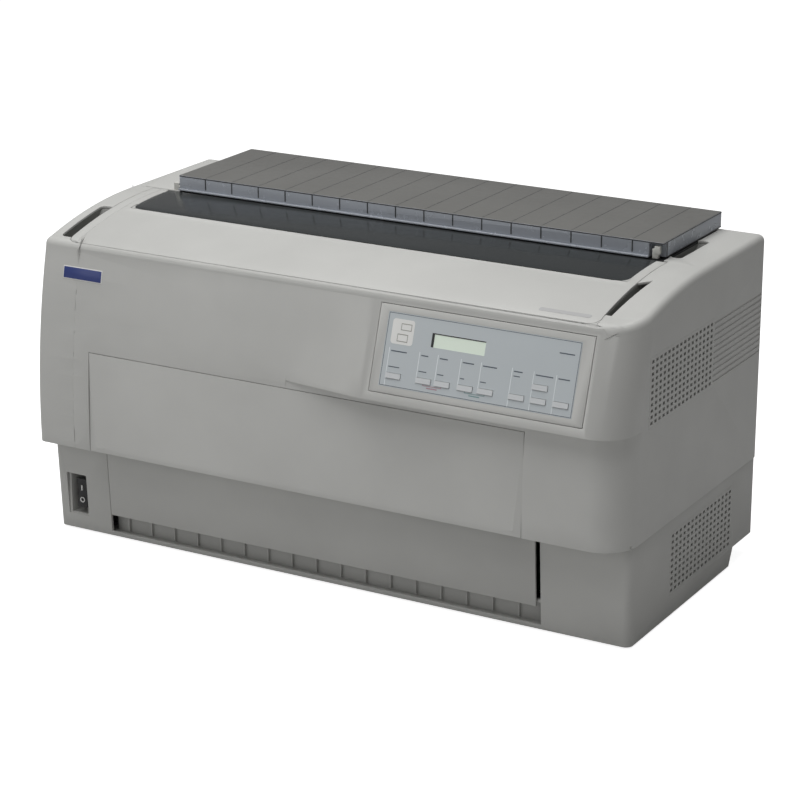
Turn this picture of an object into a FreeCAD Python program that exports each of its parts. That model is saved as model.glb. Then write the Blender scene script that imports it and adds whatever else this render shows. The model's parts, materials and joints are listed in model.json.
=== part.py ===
import FreeCAD, Part
import math
import os
import Sketcher

# Driving sizes of the printer, in millimetres and counts
SIZES = (
    # common walls and clearances
    ("wall", 3.0),
    ("fit_gap", 0.5),
    ("seat_gap", 0.3),
    ("overrun", 8.0),
    # upper case
    ("upper_width", 700.0),
    ("split_height", 109.5),
    ("top_height", 356.0),
    ("rear_wall", 160.0),
    ("face_foot", 182.5),
    ("face_middle", 178.5),
    ("face_head", 160.0),
    ("middle_height", 219.4),
    ("head_height", 325.0),
    ("front_corner", 38.0),
    ("rear_corner", 8.0),
    ("crown_radius", 545.0),
    ("edge_radius", 9.0),
    # brow that carries the control panel
    ("lip_forward", 191.0),
    ("lip_height", 228.0),
    ("brow_fade_start", -34.0),
    ("brow_fade_end", 62.0),
    # control panel
    ("panel_left", 70.0),
    ("panel_right", 307.0),
    ("panel_low", 10.0),
    ("panel_high", 99.0),
    ("panel_depth", 9.0),
    ("overlay_left", 80.0),
    ("overlay_right", 294.5),
    ("overlay_low", 17.0),
    ("overlay_high", 92.0),
    ("overlay_thickness", 0.6),
    ("lcd_left", 134.6),
    ("lcd_right", 192.0),
    ("lcd_low", 63.0),
    ("lcd_high", 76.8),
    ("button_width", 17.0),
    ("button_height", 5.4),
    ("button_row", 28.4),
    ("button_second_row", 41.6),
    ("button_proud", 0.9),
    ("button_depth", 4.0),
    ("button_travel", 0.6),
    # printer cover and its window
    ("cover_left", 333.0),
    ("cover_right", 305.0),
    ("cover_front", 156.0),
    ("cover_rear", 5.0),
    ("cover_corner", 9.0),
    ("window_left", 300.0),
    ("window_right", 294.0),
    ("window_front", 67.0),
    ("window_rear", 1.0),
    ("window_ledge", 2.0),
    ("window_thickness", 2.0),
    ("cover_pin_radius", 2.0),
    ("cover_pin_drop", 5.5),
    ("cover_pin_back", 4.0),
    ("cover_ear", 9.0),
    ("cover_swing", 10.0),
    # transparent paper guide
    ("guide_left", 288.0),
    ("guide_right", 299.0),
    ("guide_front", 10.0),
    ("guide_rear", 158.0),
    ("guide_top", 374.0),
    ("guide_skin", 2.0),
    ("guide_rib", 1.6),
    ("guide_lift", 1.0),
    ("guide_ribs", 16.0),
    ("guide_pin_radius", 2.0),
    ("guide_slope", 5.0),
    # dark tray under the paper guide
    ("tray_depth", 12.0),
    ("tray_rear", 146.0),
    # finger slots beside the cover
    ("slot_front", 138.0),
    ("slot_rear", 54.0),
    ("slot_wide", 12.0),
    ("slot_narrow", 7.0),
    ("slot_depth", 11.0),
    # front cover
    ("door_left", 281.4),
    ("door_right", 240.2),
    ("door_skin", 2.6),
    ("door_rib", 2.0),
    ("door_rib_depth", 9.0),
    ("hinge_radius", 2.5),
    # lower case
    ("lower_width", 696.0),
    ("foot_height", 3.0),
    ("lower_front", 153.0),
    ("lower_front_top", 159.5),
    ("lower_rear", 156.0),
    ("lower_cut_start", 97.0),
    ("lower_cut_height", 22.0),
    ("lower_corner", 8.0),
    # lower front cover and the ribbed paper entry below it
    ("entry_left", 277.6),
    ("entry_right", 250.0),
    ("lower_cover_right", 244.4),
    ("entry_sill", 8.0),
    ("entry_top", 27.0),
    ("entry_recess", 11.0),
    ("strip_ribs", 17.0),
    ("strip_rib_width", 1.8),
    ("strip_rib_height", 3.0),
    # side grilles
    ("upper_vent_front", -121.0),
    ("upper_vent_columns", 16.0),
    ("upper_vent_pitch", 9.5),
    ("upper_vent_low", 230.0),
    ("upper_vent_rows", 11.0),
    ("upper_vent_rise", 6.3),
    ("lower_vent_front", -54.0),
    ("lower_vent_columns", 16.0),
    ("lower_vent_pitch", 9.8),
    ("lower_vent_low", 30.0),
    ("lower_vent_rows", 10.0),
    ("lower_vent_rise", 6.6),
    ("vent_length", 5.4),
    ("vent_rise", 3.4),
    ("vent_margin", 3.0),
    ("groove_run", 115.0),
    ("groove_depth", 0.8),
    # power switch
    ("switch_left", 334.0),
    ("switch_right", 308.0),
    ("switch_low", 20.0),
    ("switch_high", 68.0),
    ("switch_recess", 20.0),
    ("rocker_width", 12.0),
    ("rocker_height", 28.0),
    ("rocker_proud", 4.0),
    ("rocker_tilt", 8.0),
    # sheet metal chassis
    ("plate", 2.0),
    ("frame_left", 318.0),
    ("frame_right", 299.0),
    ("frame_front", 118.0),
    ("frame_rear", 120.0),
    ("frame_top", 322.0),
    ("base_front", 130.0),
    ("base_rear", 92.0),
    # platen and its drive
    ("platen_back", 34.0),
    ("platen_height", 288.0),
    ("platen_radius", 20.0),
    ("platen_core", 17.0),
    ("platen_shaft", 5.0),
    ("platen_left", 300.0),
    ("platen_right", 280.0),
    ("gear_module", 1.5),
    ("platen_teeth", 40.0),
    ("pinion_teeth", 16.0),
    ("gear_width", 7.0),
    ("motor_radius", 21.0),
    ("motor_length", 38.0),
    # carriage and print head
    ("rod_radius", 5.0),
    ("rod_front", 112.0),
    ("rod_rear", 84.0),
    ("rod_height", 262.0),
    ("carriage_width", 76.0),
    ("carriage_height", 16.0),
    ("carriage_margin", 9.0),
    ("clamp_width", 20.0),
    ("head_width", 46.0),
    ("head_height_size", 34.0),
    ("head_fins", 7.0),
    ("fin_thickness", 1.6),
    ("nose_width", 9.0),
    ("nose_gap", 3.6),
    ("belt_drop", 18.0),
    ("belt_height", 6.0),
    ("belt_thickness", 1.5),
    ("pulley_radius", 9.0),
    ("pulley_left", 292.0),
    ("pulley_right", 274.0),
    # ribbon cartridge
    ("cartridge_front", 146.0),
    ("cartridge_depth", 16.0),
    ("cartridge_height", 22.0),
    ("cartridge_arm", 14.0),
    ("ribbon_width", 13.0),
    ("ribbon_thickness", 0.5),
    # front tractors
    ("tractor_shaft", 4.0),
    ("tractor_back", 112.0),
    ("tractor_height", 168.0),
    ("tractor_width", 18.0),
    ("tractor_length", 64.0),
    ("tractor_thickness", 20.0),
    ("tractor_place_left", 205.0),
    ("tractor_place_right", 165.0),
    ("tractor_lid", 2.5),
    ("sprocket_radius", 13.0),
    ("sprocket_width", 7.0),
    ("pin_count", 10.0),
    # rear paper entry
    ("rear_depth", 31.0),
    ("rear_left", 262.0),
    ("rear_right", 262.0),
    ("rear_low", 236.0),
    ("rear_high", 318.0),
    ("rear_mouth_low", 262.0),
    ("rear_mouth_high", 300.0),
    # electrics
    ("board_height", 24.0),
    ("supply_left", 326.0),
    ("supply_width", 106.0),
    ("supply_front", 30.0),
    ("supply_depth", 120.0),
    ("supply_height", 66.0),
    ("fan_size", 60.0),
    ("fan_depth", 20.0),
    ("fan_rotor", 26.0),
    ("fan_hub", 11.0),
    ("fan_blades", 7.0),
    ("inlet_place", -262.0),
    ("inlet_width", 28.0),
    ("inlet_height", 20.0),
    ("inlet_depth", 16.0),
    ("port_place", 190.0),
    ("port_width", 58.0),
    ("port_height", 14.0),
    ("port_depth", 10.0),
    ("serial_width", 38.0),
    ("port_row", 52.0),
    ("bezel_lip", 1.6),
    # feet
    ("foot_radius", 11.0),
    ("foot_side_inset", 32.0),
    ("foot_front_inset", 26.0),
    ("foot_rear", 74.0),
)

doc = FreeCAD.newDocument("printer")
sheet = doc.addObject("Spreadsheet::Sheet", "dims")
PIECES = {}


class Size:
    """A size that keeps its formula in the sheet's names together with its present value."""

    def __init__(self, text, value):
        self.text = text
        self.value = value

    def __add__(self, other):
        other = size(other)
        return Size(f"({self.text} + {other.text})", self.value + other.value)

    def __sub__(self, other):
        other = size(other)
        return Size(f"({self.text} - {other.text})", self.value - other.value)

    def __mul__(self, other):
        other = size(other)
        return Size(f"({self.text} * {other.text})", self.value * other.value)

    def __truediv__(self, other):
        other = size(other)
        return Size(f"({self.text} / {other.text})", self.value / other.value)

    def __neg__(self):
        return Size(f"(0 - {self.text})", -self.value)

    __radd__ = __add__
    __rmul__ = __mul__


def size(value):
    if isinstance(value, Size):
        return value
    return Size(repr(float(value)), float(value))


def root(value):
    return Size(f"sqrt({value.text})", math.sqrt(value.value))


def sine(angle):
    return Size(f"sin({angle.text} * 1 deg)", math.sin(math.radians(angle.value)))


def cosine(angle):
    return Size(f"cos({angle.text} * 1 deg)", math.cos(math.radians(angle.value)))


def fill_sheet():
    for row, (name, value) in enumerate(SIZES, 1):
        sheet.set(f"A{row}", name)
        sheet.set(f"B{row}", str(value))
        sheet.setAlias(f"B{row}", name)


class Named:
    """Every driving size as an attribute."""


d = Named()
fill_sheet()
doc.recompute()
for size_name, size_value in SIZES:
    setattr(d, size_name, Size(f"dims.{size_name}", size_value))


def tie(item, name, value):
    item.setExpression(name, size(value).text)


def place(item, at):
    for axis, value in zip("xyz", at):
        tie(item, f"Placement.Base.{axis}", value)


def piece(node, item):
    item.Label = node
    PIECES[node] = item
    return item


# Plain solids whose sizes are tied to the sheet
def box(name, x, y, z):
    item = doc.addObject("Part::Box", name)
    tie(item, "Length", size(x[1]) - x[0])
    tie(item, "Width", size(y[1]) - y[0])
    tie(item, "Height", size(z[1]) - z[0])
    place(item, (x[0], y[0], z[0]))
    return item


TURNS = {
    "x": FreeCAD.Rotation(FreeCAD.Vector(0, 1, 0), 90),
    "y": FreeCAD.Rotation(FreeCAD.Vector(1, 0, 0), -90),
    "z": FreeCAD.Rotation(),
}


def rod(name, along, radius, at, length):
    item = doc.addObject("Part::Cylinder", name)
    tie(item, "Radius", radius)
    tie(item, "Height", length)
    item.Placement = FreeCAD.Placement(FreeCAD.Vector(), TURNS[along])
    place(item, at)
    return item


def cut(name, base, tools):
    item = doc.addObject("Part::Cut", name)
    item.Base = base
    item.Tool = tools[0] if len(tools) == 1 else join(name + "_tools", tools)
    return item


def join(name, parts):
    item = doc.addObject("Part::MultiFuse", name)
    item.Shapes = parts
    return item


# Sketched bodies
PLANES = {"front": "XZ_Plane", "side": "YZ_Plane", "plan": "XY_Plane"}


def new_sketch(body, name, plane, lift=None):
    sketch = body.newObject("Sketcher::SketchObject", name)
    planes = [item for item in body.Origin.OriginFeatures if item.Role == PLANES[plane]]
    sketch.AttachmentSupport = [(planes[0], "")]
    sketch.MapMode = "FlatFace"
    if lift is not None:
        sketch.setExpression("AttachmentOffset.Base.z", lift.text)
    return sketch


def pin_point(sketch, geometry, position, point):
    for kind, value in zip(("DistanceX", "DistanceY"), point):
        value = size(value)
        index = sketch.addConstraint(Sketcher.Constraint(kind, geometry, position, value.value))
        sketch.setExpression(f"Constraints[{index}]", value.text)


def vector(point):
    return FreeCAD.Vector(size(point[0]).value, size(point[1]).value, 0)


def outline(sketch, points):
    """Closed outline through points; ("by", middle, end) draws an arc to its end."""
    ends = [point[2] if point[0] == "by" else point for point in points]
    count = len(points)
    for index, point in enumerate(points):
        start = vector(ends[index - 1])
        if point[0] == "by":
            arc = Part.Arc(start, vector(point[1]), vector(point[2]))
            edge = sketch.addGeometry(arc, False)
            forward = (sketch.getPoint(edge, 1) - start).Length < (sketch.getPoint(edge, 2) - start).Length
            first, last = (1, 2) if forward else (2, 1)
            marker = sketch.addGeometry(Part.Point(vector(point[1])), True)
            pin_point(sketch, marker, 1, point[1])
            sketch.addConstraint(Sketcher.Constraint("PointOnObject", marker, 1, edge))
        else:
            edge = sketch.addGeometry(Part.LineSegment(start, vector(point)), False)
            first, last = (1, 2)
        pin_point(sketch, edge, last, ends[index])
        pin_point(sketch, edge, first, ends[index - 1])
    return count


def extrude(name, plane, points, start, length):
    """Body with one outline, extruded from start towards +X, +Y or +Z."""
    body = doc.addObject("PartDesign::Body", name)
    sketch = new_sketch(body, name + "_outline", plane)
    outline(sketch, points)
    pad = body.newObject("PartDesign::Pad", name + "_pad")
    pad.Profile = sketch
    tie(pad, "Length", length)
    pad.Reversed = plane == "front"
    at = {"front": (0, start, 0), "side": (start, 0, 0), "plan": (0, 0, start)}[plane]
    place(body, at)
    body.Tip = pad
    return body


def rounded_points(x, y, corners):
    """Rectangle in plan with four corner radii: front left, front right, rear right, rear left."""
    left, right = size(x[0]), size(x[1])
    front, rear = size(y[0]), size(y[1])
    share = 1 - math.sqrt(0.5)
    fl, fr, rr, rl = [size(value) for value in corners]
    return [
        (right - fr, front),
        ("by", (right - fr * share, front + fr * share), (right, front + fr)),
        (right, rear - rr),
        ("by", (right - rr * share, rear - rr * share), (right - rr, rear)),
        (left + rl, rear),
        ("by", (left + rl * share, rear - rl * share), (left, rear - rl)),
        (left, front + fl),
        ("by", (left + fl * share, front + fl * share), (left + fl, front)),
    ]


# Shape of the crowned top
def crown_height(y, inset=0):
    reach = d.crown_radius - inset
    return d.top_height - d.crown_radius + root(reach * reach - size(y) * size(y))


def face_at(height):
    """Forward reach of the front face between its foot and its middle line."""
    share = (size(height) - d.split_height) / (d.middle_height - d.split_height)
    return d.face_foot - (d.face_foot - d.face_middle) * share


def upper_form(name, inset):
    """Rounded, leaning and crowned block of the upper case, drawn inside by the inset."""
    body = doc.addObject("PartDesign::Body", name)
    half = d.upper_width / 2 - inset
    low = d.split_height if size(inset).value == 0 else d.split_height - d.overrun
    levels = ((low, d.face_foot), (d.middle_height, d.face_middle), (d.head_height, d.face_head))
    sketches = []
    for number, (height, reach) in enumerate(levels):
        sketch = new_sketch(body, f"{name}_level_{number}", "plan", height)
        front_radius = d.front_corner - inset
        rear_radius = d.rear_corner - inset
        corners = (front_radius, front_radius, rear_radius, rear_radius)
        outline(sketch, rounded_points((-half, half), (-reach + inset, d.rear_wall - inset), corners))
        sketches.append(sketch)
    loft = body.newObject("PartDesign::AdditiveLoft", name + "_walls")
    loft.Profile = sketches[0]
    loft.Sections = sketches[1:]
    loft.Ruled = False
    top = new_sketch(body, name + "_top", "plan", d.head_height)
    front_radius = d.front_corner - inset
    rear_radius = d.rear_corner - inset
    corners = (front_radius, front_radius, rear_radius, rear_radius)
    outline(top, rounded_points((-half, half), (-d.face_head + inset, d.rear_wall - inset), corners))
    cap = body.newObject("PartDesign::Pad", name + "_cap")
    cap.Profile = top
    tie(cap, "Length", d.top_height - d.head_height + d.overrun)
    crown = new_sketch(body, name + "_crown", "side")
    edge = d.edge_radius
    crown_end = d.face_head - edge
    end_height = crown_height(crown_end, inset)
    above = d.top_height + d.overrun * 2
    share = 1 - math.sqrt(0.5)
    outline(crown, [
        (-d.face_head + inset, end_height - edge),
        ("by", (-d.face_head + inset + edge * share, end_height - edge * share), (-crown_end + inset, end_height)),
        ("by", (-crown_end / 2, crown_height(crown_end / 2, inset)), (0, d.top_height - inset)),
        (d.rear_wall + d.overrun, d.top_height - inset),
        (d.rear_wall + d.overrun, above),
        (-d.face_head - d.overrun, above),
        (-d.face_head - d.overrun, end_height - edge),
    ])
    shave = body.newObject("PartDesign::Pocket", name + "_shave")
    shave.Profile = crown
    shave.Midplane = True
    tie(shave, "Length", d.upper_width + d.overrun * 2)
    body.Tip = shave
    return body


def panel_lean():
    """Angle by which the control panel leans back, in degrees."""
    reach = d.lip_forward - d.face_head
    rise = d.head_height - d.lip_height
    text = f"(atan({(reach / rise).text}) / 1 deg)"
    return Size(text, math.degrees(math.atan2(reach.value, rise.value)))


def brow_form():
    """Wedge that grows out of the front face and carries the control panel."""
    body = doc.addObject("PartDesign::Body", "brow_blank")
    half = d.upper_width / 2
    back = -d.face_head + d.front_corner + d.overrun
    levels = ((d.lip_height, d.lip_forward, d.face_middle - d.seat_gap), (d.head_height, d.face_head, d.face_head - d.seat_gap))
    sketches = []
    for number, (height, reach, start_reach) in enumerate(levels):
        sketch = new_sketch(body, f"brow_level_{number}", "plan", height)
        share = 1 - math.sqrt(0.5)
        radius = d.front_corner
        outline(sketch, [
            (d.brow_fade_start, -start_reach),
            (d.brow_fade_end, -reach),
            (half - radius, -reach),
            ("by", (half - radius * share, -reach + radius * share), (half, -reach + radius)),
            (half, back),
            (d.brow_fade_start, back),
        ])
        sketches.append(sketch)
    loft = body.newObject("PartDesign::AdditiveLoft", "brow_loft")
    loft.Profile = sketches[0]
    loft.Sections = [sketches[1]]
    loft.Ruled = True
    body.Tip = loft
    return body


def finger_slot_blank(name, edge, outward):
    """Wedge-shaped pocket beside the cover, widest at its rear."""
    low = d.top_height - d.slot_depth * 3
    points = [
        (edge, -d.slot_front),
        (edge + outward * d.slot_narrow, -d.slot_front),
        (edge + outward * d.slot_wide, -d.slot_rear),
        (edge, -d.slot_rear - d.slot_wide),
    ]
    if outward < 0:
        points.reverse()
    return extrude(name, "plan", points, low, d.slot_depth * 4)


def soffit(gap):
    """Underside that joins the overhanging front to the lower case, notched for the front cover."""
    inset = d.wall / 2
    radius = d.front_corner - inset
    half = d.upper_width / 2 - inset
    plate = extrude("soffit_plate", "plan",
                    rounded_points((-half, half), (-d.face_foot + inset, -d.lower_front_top + d.wall),
                                   (radius, radius, inset, inset)),
                    d.split_height, d.wall)
    notch = box("soffit_notch", (-d.door_left - gap, d.door_right + gap),
                (-d.face_foot - d.overrun, -d.face_foot + d.wall * 4 + d.hinge_radius),
                (d.split_height - d.overrun, d.split_height + d.overrun))
    return cut("soffit", plate, [notch])


def upper_case():
    shell = cut("upper_shell", join("upper_outer", [upper_form("upper_block", 0), brow_form()]),
                [upper_form("upper_room", d.wall)])
    gap = d.fit_gap
    cover_hole = box("cover_hole", (-d.cover_left - gap, d.cover_right + gap),
                     (-d.cover_front - gap, d.cover_swing),
                     (d.head_height - d.wall * 3, d.top_height + d.overrun))
    tray_hole = box("tray_hole", (-d.guide_left - gap, d.guide_right + gap),
                    (d.cover_rear, d.tray_rear + gap), (d.top_height - d.wall * 2, d.top_height + d.overrun))
    door_hole = box("door_hole", (-d.door_left - gap, d.door_right + gap),
                    (-d.face_foot - d.overrun, -d.face_middle + d.overrun * 2),
                    (d.split_height - d.overrun, d.middle_height + gap))
    rear_hole = box("rear_hole", (-d.rear_left + d.wall * 2, d.rear_right - d.wall * 2),
                    (d.rear_wall - d.overrun, d.rear_wall + d.overrun),
                    (d.rear_mouth_low - d.wall, d.rear_mouth_high + d.wall))
    depth = d.panel_depth + gap
    panel_hole = panel_box("panel_hole", (d.panel_left - gap, d.panel_right + gap), (-d.overrun, depth),
                           (d.panel_low - gap, d.panel_high + gap))
    grille_hole = box("upper_grille_hole", (d.upper_width / 2 - d.overrun, d.upper_width / 2 + d.overrun),
                      *grille_window("upper", d.seat_gap))
    slots = [
        finger_slot_blank("left_finger_slot", -d.cover_left, -1),
        finger_slot_blank("right_finger_slot", d.cover_right, 1),
    ]
    tools = [cover_hole, tray_hole, door_hole, rear_hole, panel_hole, grille_hole] + slots
    open_shell = cut("upper_open_shell", shell, tools)
    margin = d.wall * 3
    seats = hinge_seats("front", -d.door_left - gap, d.door_right + gap, -d.door_left + margin,
                        d.door_right - margin * 2, door_axis())
    piece("upper_case", join("upper_case", [open_shell, soffit(gap)] + seats))


# Places on the leaning control panel
def panel_point(x, inward, up):
    lean = panel_lean()
    y = -d.lip_forward + size(inward) * cosine(lean) + size(up) * sine(lean)
    z = d.lip_height - size(inward) * sine(lean) + size(up) * cosine(lean)
    return (x, y, z)


def panel_box(name, x, inward, up):
    item = doc.addObject("Part::Box", name)
    tie(item, "Length", size(x[1]) - x[0])
    tie(item, "Width", size(inward[1]) - inward[0])
    tie(item, "Height", size(up[1]) - up[0])
    item.Placement = FreeCAD.Placement(FreeCAD.Vector(), FreeCAD.Rotation(FreeCAD.Vector(1, 0, 0), -1))
    tie(item, "Placement.Rotation.Angle", -panel_lean())
    place(item, panel_point(x[0], inward[0], up[0]))
    return item


# Places of the buttons across the housing, as shares of its width
BUTTON_SHARES = (0.105, 0.2506, 0.3388, 0.4477, 0.5426, 0.6865, 0.7865, 0.7865, 0.8895)
SECOND_ROW_BUTTON = 6


def button_span(number, grow=0):
    left = d.panel_left + (d.panel_right - d.panel_left) * BUTTON_SHARES[number]
    row = d.button_second_row if number == SECOND_ROW_BUTTON else d.button_row
    half = d.button_width / 2 + grow
    rise = d.button_height / 2 + grow
    return (left - half, left + half), (row - rise, row + rise)


def control_panel():
    face = d.overlay_thickness
    body = panel_box("housing_blank", (d.panel_left, d.panel_right), (0, d.panel_depth),
                     (d.panel_low, d.panel_high))
    holes = [panel_box("overlay_seat", (d.overlay_left, d.overlay_right), (-d.overrun, face),
                       (d.overlay_low, d.overlay_high))]
    sheet_holes = []
    reach = face + d.button_depth + d.button_travel + d.seat_gap
    for number in range(len(BUTTON_SHARES)):
        x, up = button_span(number, d.seat_gap)
        holes.append(panel_box(f"button_well_{number + 1}", x, (-d.overrun, reach), up))
        sheet_holes.append(panel_box(f"button_window_{number + 1}", x, (-d.overrun, d.overrun), up))
        x, up = button_span(number)
        button = panel_box(f"button_{number + 1}", x, (-d.button_proud, face + d.button_depth), up)
        piece(f"button_{number + 1}", button)
    lcd_span = ((d.lcd_left, d.lcd_right), (d.lcd_low, d.lcd_high))
    sheet_holes.append(panel_box("lcd_window", lcd_span[0], (-d.overrun, d.overrun), lcd_span[1]))
    piece("control_panel_housing", cut("control_panel_housing", body, holes))
    overlay = panel_box("overlay_blank", (d.overlay_left, d.overlay_right), (0, face),
                        (d.overlay_low, d.overlay_high))
    piece("panel_overlay", cut("panel_overlay", overlay, sheet_holes))
    piece("lcd_display", panel_box("lcd_display", lcd_span[0], (face / 3, face), lcd_span[1]))


# Side grilles
def grille_window(which, grow):
    front = getattr(d, which + "_vent_front")
    low = getattr(d, which + "_vent_low")
    run = getattr(d, which + "_vent_pitch") * (getattr(d, which + "_vent_columns") - 1)
    rise = getattr(d, which + "_vent_rise") * (getattr(d, which + "_vent_rows") - 1)
    margin = d.vent_margin + grow
    return (
        (front - d.vent_length / 2 - margin, front + run + d.vent_length / 2 + margin),
        (low - d.vent_rise / 2 - margin, low + rise + d.vent_rise / 2 + margin),
    )


def grille(which, outside):
    """Insert with a grid of short slots, made by one slot and its patterns."""
    y, z = grille_window(which, 0)
    name = f"side_grille_{which}"
    body = extrude(name, "side", [(y[0], z[0]), (y[1], z[0]), (y[1], z[1]), (y[0], z[1])],
                   outside - d.wall, d.wall)
    front = getattr(d, which + "_vent_front")
    low = getattr(d, which + "_vent_low")
    half, rise = d.vent_length / 2, d.vent_rise / 2
    sketch = new_sketch(body, name + "_slot", "side")
    outline(sketch, [(front - half, low - rise), (front + half, low - rise),
                     (front + half, low + rise), (front - half, low + rise)])
    pocket = body.newObject("PartDesign::Pocket", name + "_pocket")
    pocket.Profile = sketch
    pocket.Midplane = True
    tie(pocket, "Length", d.wall * 4)
    doc.recompute()
    grid = body.newObject("PartDesign::MultiTransform", name + "_grid")
    grid.Originals = [pocket]
    steps = []
    for direction, kind in (("H_Axis", "columns"), ("V_Axis", "rows")):
        step = body.newObject("PartDesign::LinearPattern", f"{name}_{kind}")
        step.Direction = (sketch, [direction])
        count = getattr(d, f"{which}_vent_{kind}")
        pitch = getattr(d, f"{which}_vent_{'pitch' if kind == 'columns' else 'rise'}")
        tie(step, "Length", pitch * (count - 1))
        tie(step, "Occurrences", count)
        steps.append(step)
    grid.Transformations = steps
    body.Tip = grid
    piece(name, body)


# Printer cover, its window and the paper guide
def crown_strip(front, rear, inset, thickness):
    """Side outline of a sheet that follows the crowned top and runs level behind the crown."""
    front, rear = size(front), size(rear)
    middle = front / 2
    deep = size(inset) + thickness
    return [
        (front, crown_height(front, inset)),
        ("by", (middle, crown_height(middle, inset)), (0, d.top_height - inset)),
        (rear, d.top_height - inset),
        (rear, d.top_height - deep),
        (0, d.top_height - deep),
        ("by", (middle, crown_height(middle, deep)), (front, crown_height(front, deep))),
    ]


def printer_cover():
    skin = extrude("cover_skin", "side", crown_strip(-d.cover_front, d.cover_rear, 0, d.wall),
                   -d.cover_left, d.cover_left + d.cover_right)
    window = box("window_hole", (-d.window_left, d.window_right), (-d.window_front, -d.window_rear),
                 (d.head_height, d.top_height + d.overrun))
    gap = d.fit_gap
    pin_z = d.top_height - d.cover_pin_drop
    ears = []
    for side, x in (("left", -d.cover_left), ("right", d.cover_right - d.wall)):
        ears.append(box(f"cover_ear_{side}", (x, x + d.wall), (-d.cover_ear, d.cover_rear),
                        (pin_z - d.cover_pin_radius * 3, d.top_height - d.wall / 2)))
    flanges = [box("cover_front_flange", (-d.cover_left + d.wall, d.cover_right - d.wall),
                   (-d.cover_front + gap, -d.cover_front + gap + d.wall),
                   (crown_height(d.cover_front) - d.wall * 3, crown_height(d.cover_front, d.wall) + gap))]
    holes = [window]
    for side, x in (("left", -d.cover_left), ("right", d.cover_right)):
        holes.append(rod(f"cover_pin_bore_{side}", "x", d.cover_pin_radius + gap / 5,
                         (x - d.overrun, d.cover_pin_back, pin_z), d.overrun * 2))
    piece("printer_cover", cut("printer_cover", join("cover_solid", [skin] + ears + flanges), holes))
    pane = extrude("cover_window", "side",
                   crown_strip(-d.window_front - d.window_ledge, -d.window_rear + d.window_ledge,
                               d.wall, d.window_thickness),
                   -d.window_left - d.window_ledge, d.window_left + d.window_right + d.window_ledge * 2)
    piece("cover_window", pane)


def paper_guide():
    """Thin smoked hood, open below, with a row of ribs under its top."""
    left, right = -d.guide_left, d.guide_right
    base = d.top_height + d.guide_lift
    lean = d.guide_slope
    block = extrude("guide_block", "side",
                    [(d.guide_front, base), (d.guide_rear, base), (d.guide_rear, d.guide_top),
                     (d.guide_front + lean, d.guide_top), (d.guide_front, d.guide_top - lean)],
                    left, d.guide_left + d.guide_right)
    skin = d.guide_skin
    room = extrude("guide_room", "side",
                   [(d.guide_front + skin, base - d.overrun), (d.guide_rear + d.overrun, base - d.overrun),
                    (d.guide_rear + d.overrun, d.guide_top - skin), (d.guide_front + lean, d.guide_top - skin),
                    (d.guide_front + skin, d.guide_top - lean - skin)],
                   left + skin, d.guide_left + d.guide_right - skin * 2)
    hood = cut("guide_hood", block, [room])
    pitch = (d.guide_left + d.guide_right) / (d.guide_ribs + 1)
    ribs = []
    for number in range(int(d.guide_ribs.value)):
        x = left + pitch * (number + 1)
        ribs.append(box(f"guide_rib_{number + 1}", (x - d.guide_rib / 2, x + d.guide_rib / 2),
                        (d.guide_front + skin, d.guide_rear - lean), (base + lean, d.guide_top - skin)))
    pin_z = base + d.guide_pin_radius * 1.5
    pin_y = d.guide_front + d.guide_pin_radius * 1.5
    bores = [rod("guide_bore_left", "x", d.guide_pin_radius + d.fit_gap / 5, (left - skin, pin_y, pin_z), skin * 3),
             rod("guide_bore_right", "x", d.guide_pin_radius + d.fit_gap / 5, (right - skin * 2, pin_y, pin_z), skin * 3)]
    piece("paper_guide", cut("paper_guide", join("guide_solid", [hood] + ribs), bores))
    for side, outer, inner in (("left", left - skin * 4, left + skin * 2), ("right", right - skin * 2, right + skin * 4)):
        post_x = (outer, outer + skin * 3) if side == "left" else (inner - skin * 3, inner)
        pin = rod(f"guide_pin_{side}", "x", d.guide_pin_radius, (outer, pin_y, pin_z), inner - outer)
        post = box(f"guide_post_{side}", post_x, (pin_y - d.guide_pin_radius, pin_y + d.guide_pin_radius * 2),
                   (d.top_height, pin_z + d.guide_pin_radius * 2))
        piece(f"guide_pivot_{side}", join(f"guide_pivot_{side}", [pin, post]))


def exit_tray():
    """Dark floor and walls of the paper exit below the guide."""
    low = d.top_height - d.tray_depth
    block = box("tray_block", (-d.guide_left, d.guide_right), (d.cover_swing + d.plate / 2, d.tray_rear),
                (low, d.top_height - d.seat_gap * 3))
    room = box("tray_room", (-d.guide_left + d.wall, d.guide_right - d.wall),
               (d.cover_swing + d.plate / 2 + d.wall, d.tray_rear - d.wall), (low + d.wall, d.top_height + d.overrun))
    piece("paper_exit_tray", cut("paper_exit_tray", block, [room]))


# Front cover, lower front cover and paper entry
def hinge_seats(name, left, right, left_knuckle, right_knuckle, axis):
    """Boss outside each end of a cover's opening, with the pin that its knuckle turns on."""
    boss = d.hinge_radius * 2
    deep = d.wall * 2
    parts = []
    spans = (("left", left - deep, left, left - deep, left_knuckle + d.wall * 4),
             ("right", right, right + deep, right_knuckle - d.wall, right + deep))
    for side, low, high, start, end in spans:
        parts.append(box(f"{name}_boss_{side}", (low, high), (axis[0] - boss, axis[0] + boss),
                         (axis[1] - boss, axis[1] + boss)))
        parts.append(rod(f"{name}_pin_{side}", "x", d.hinge_radius, (start, axis[0], axis[1]), end - start))
    return parts


def door_axis():
    low = d.split_height + d.fit_gap
    return (-face_at(low) + d.hinge_radius * 2, low + d.hinge_radius * 2)


def lower_door_axis():
    low = d.entry_top + d.fit_gap
    return (-lower_face(low) + d.hinge_radius * 2, low + d.hinge_radius * 2)


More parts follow.
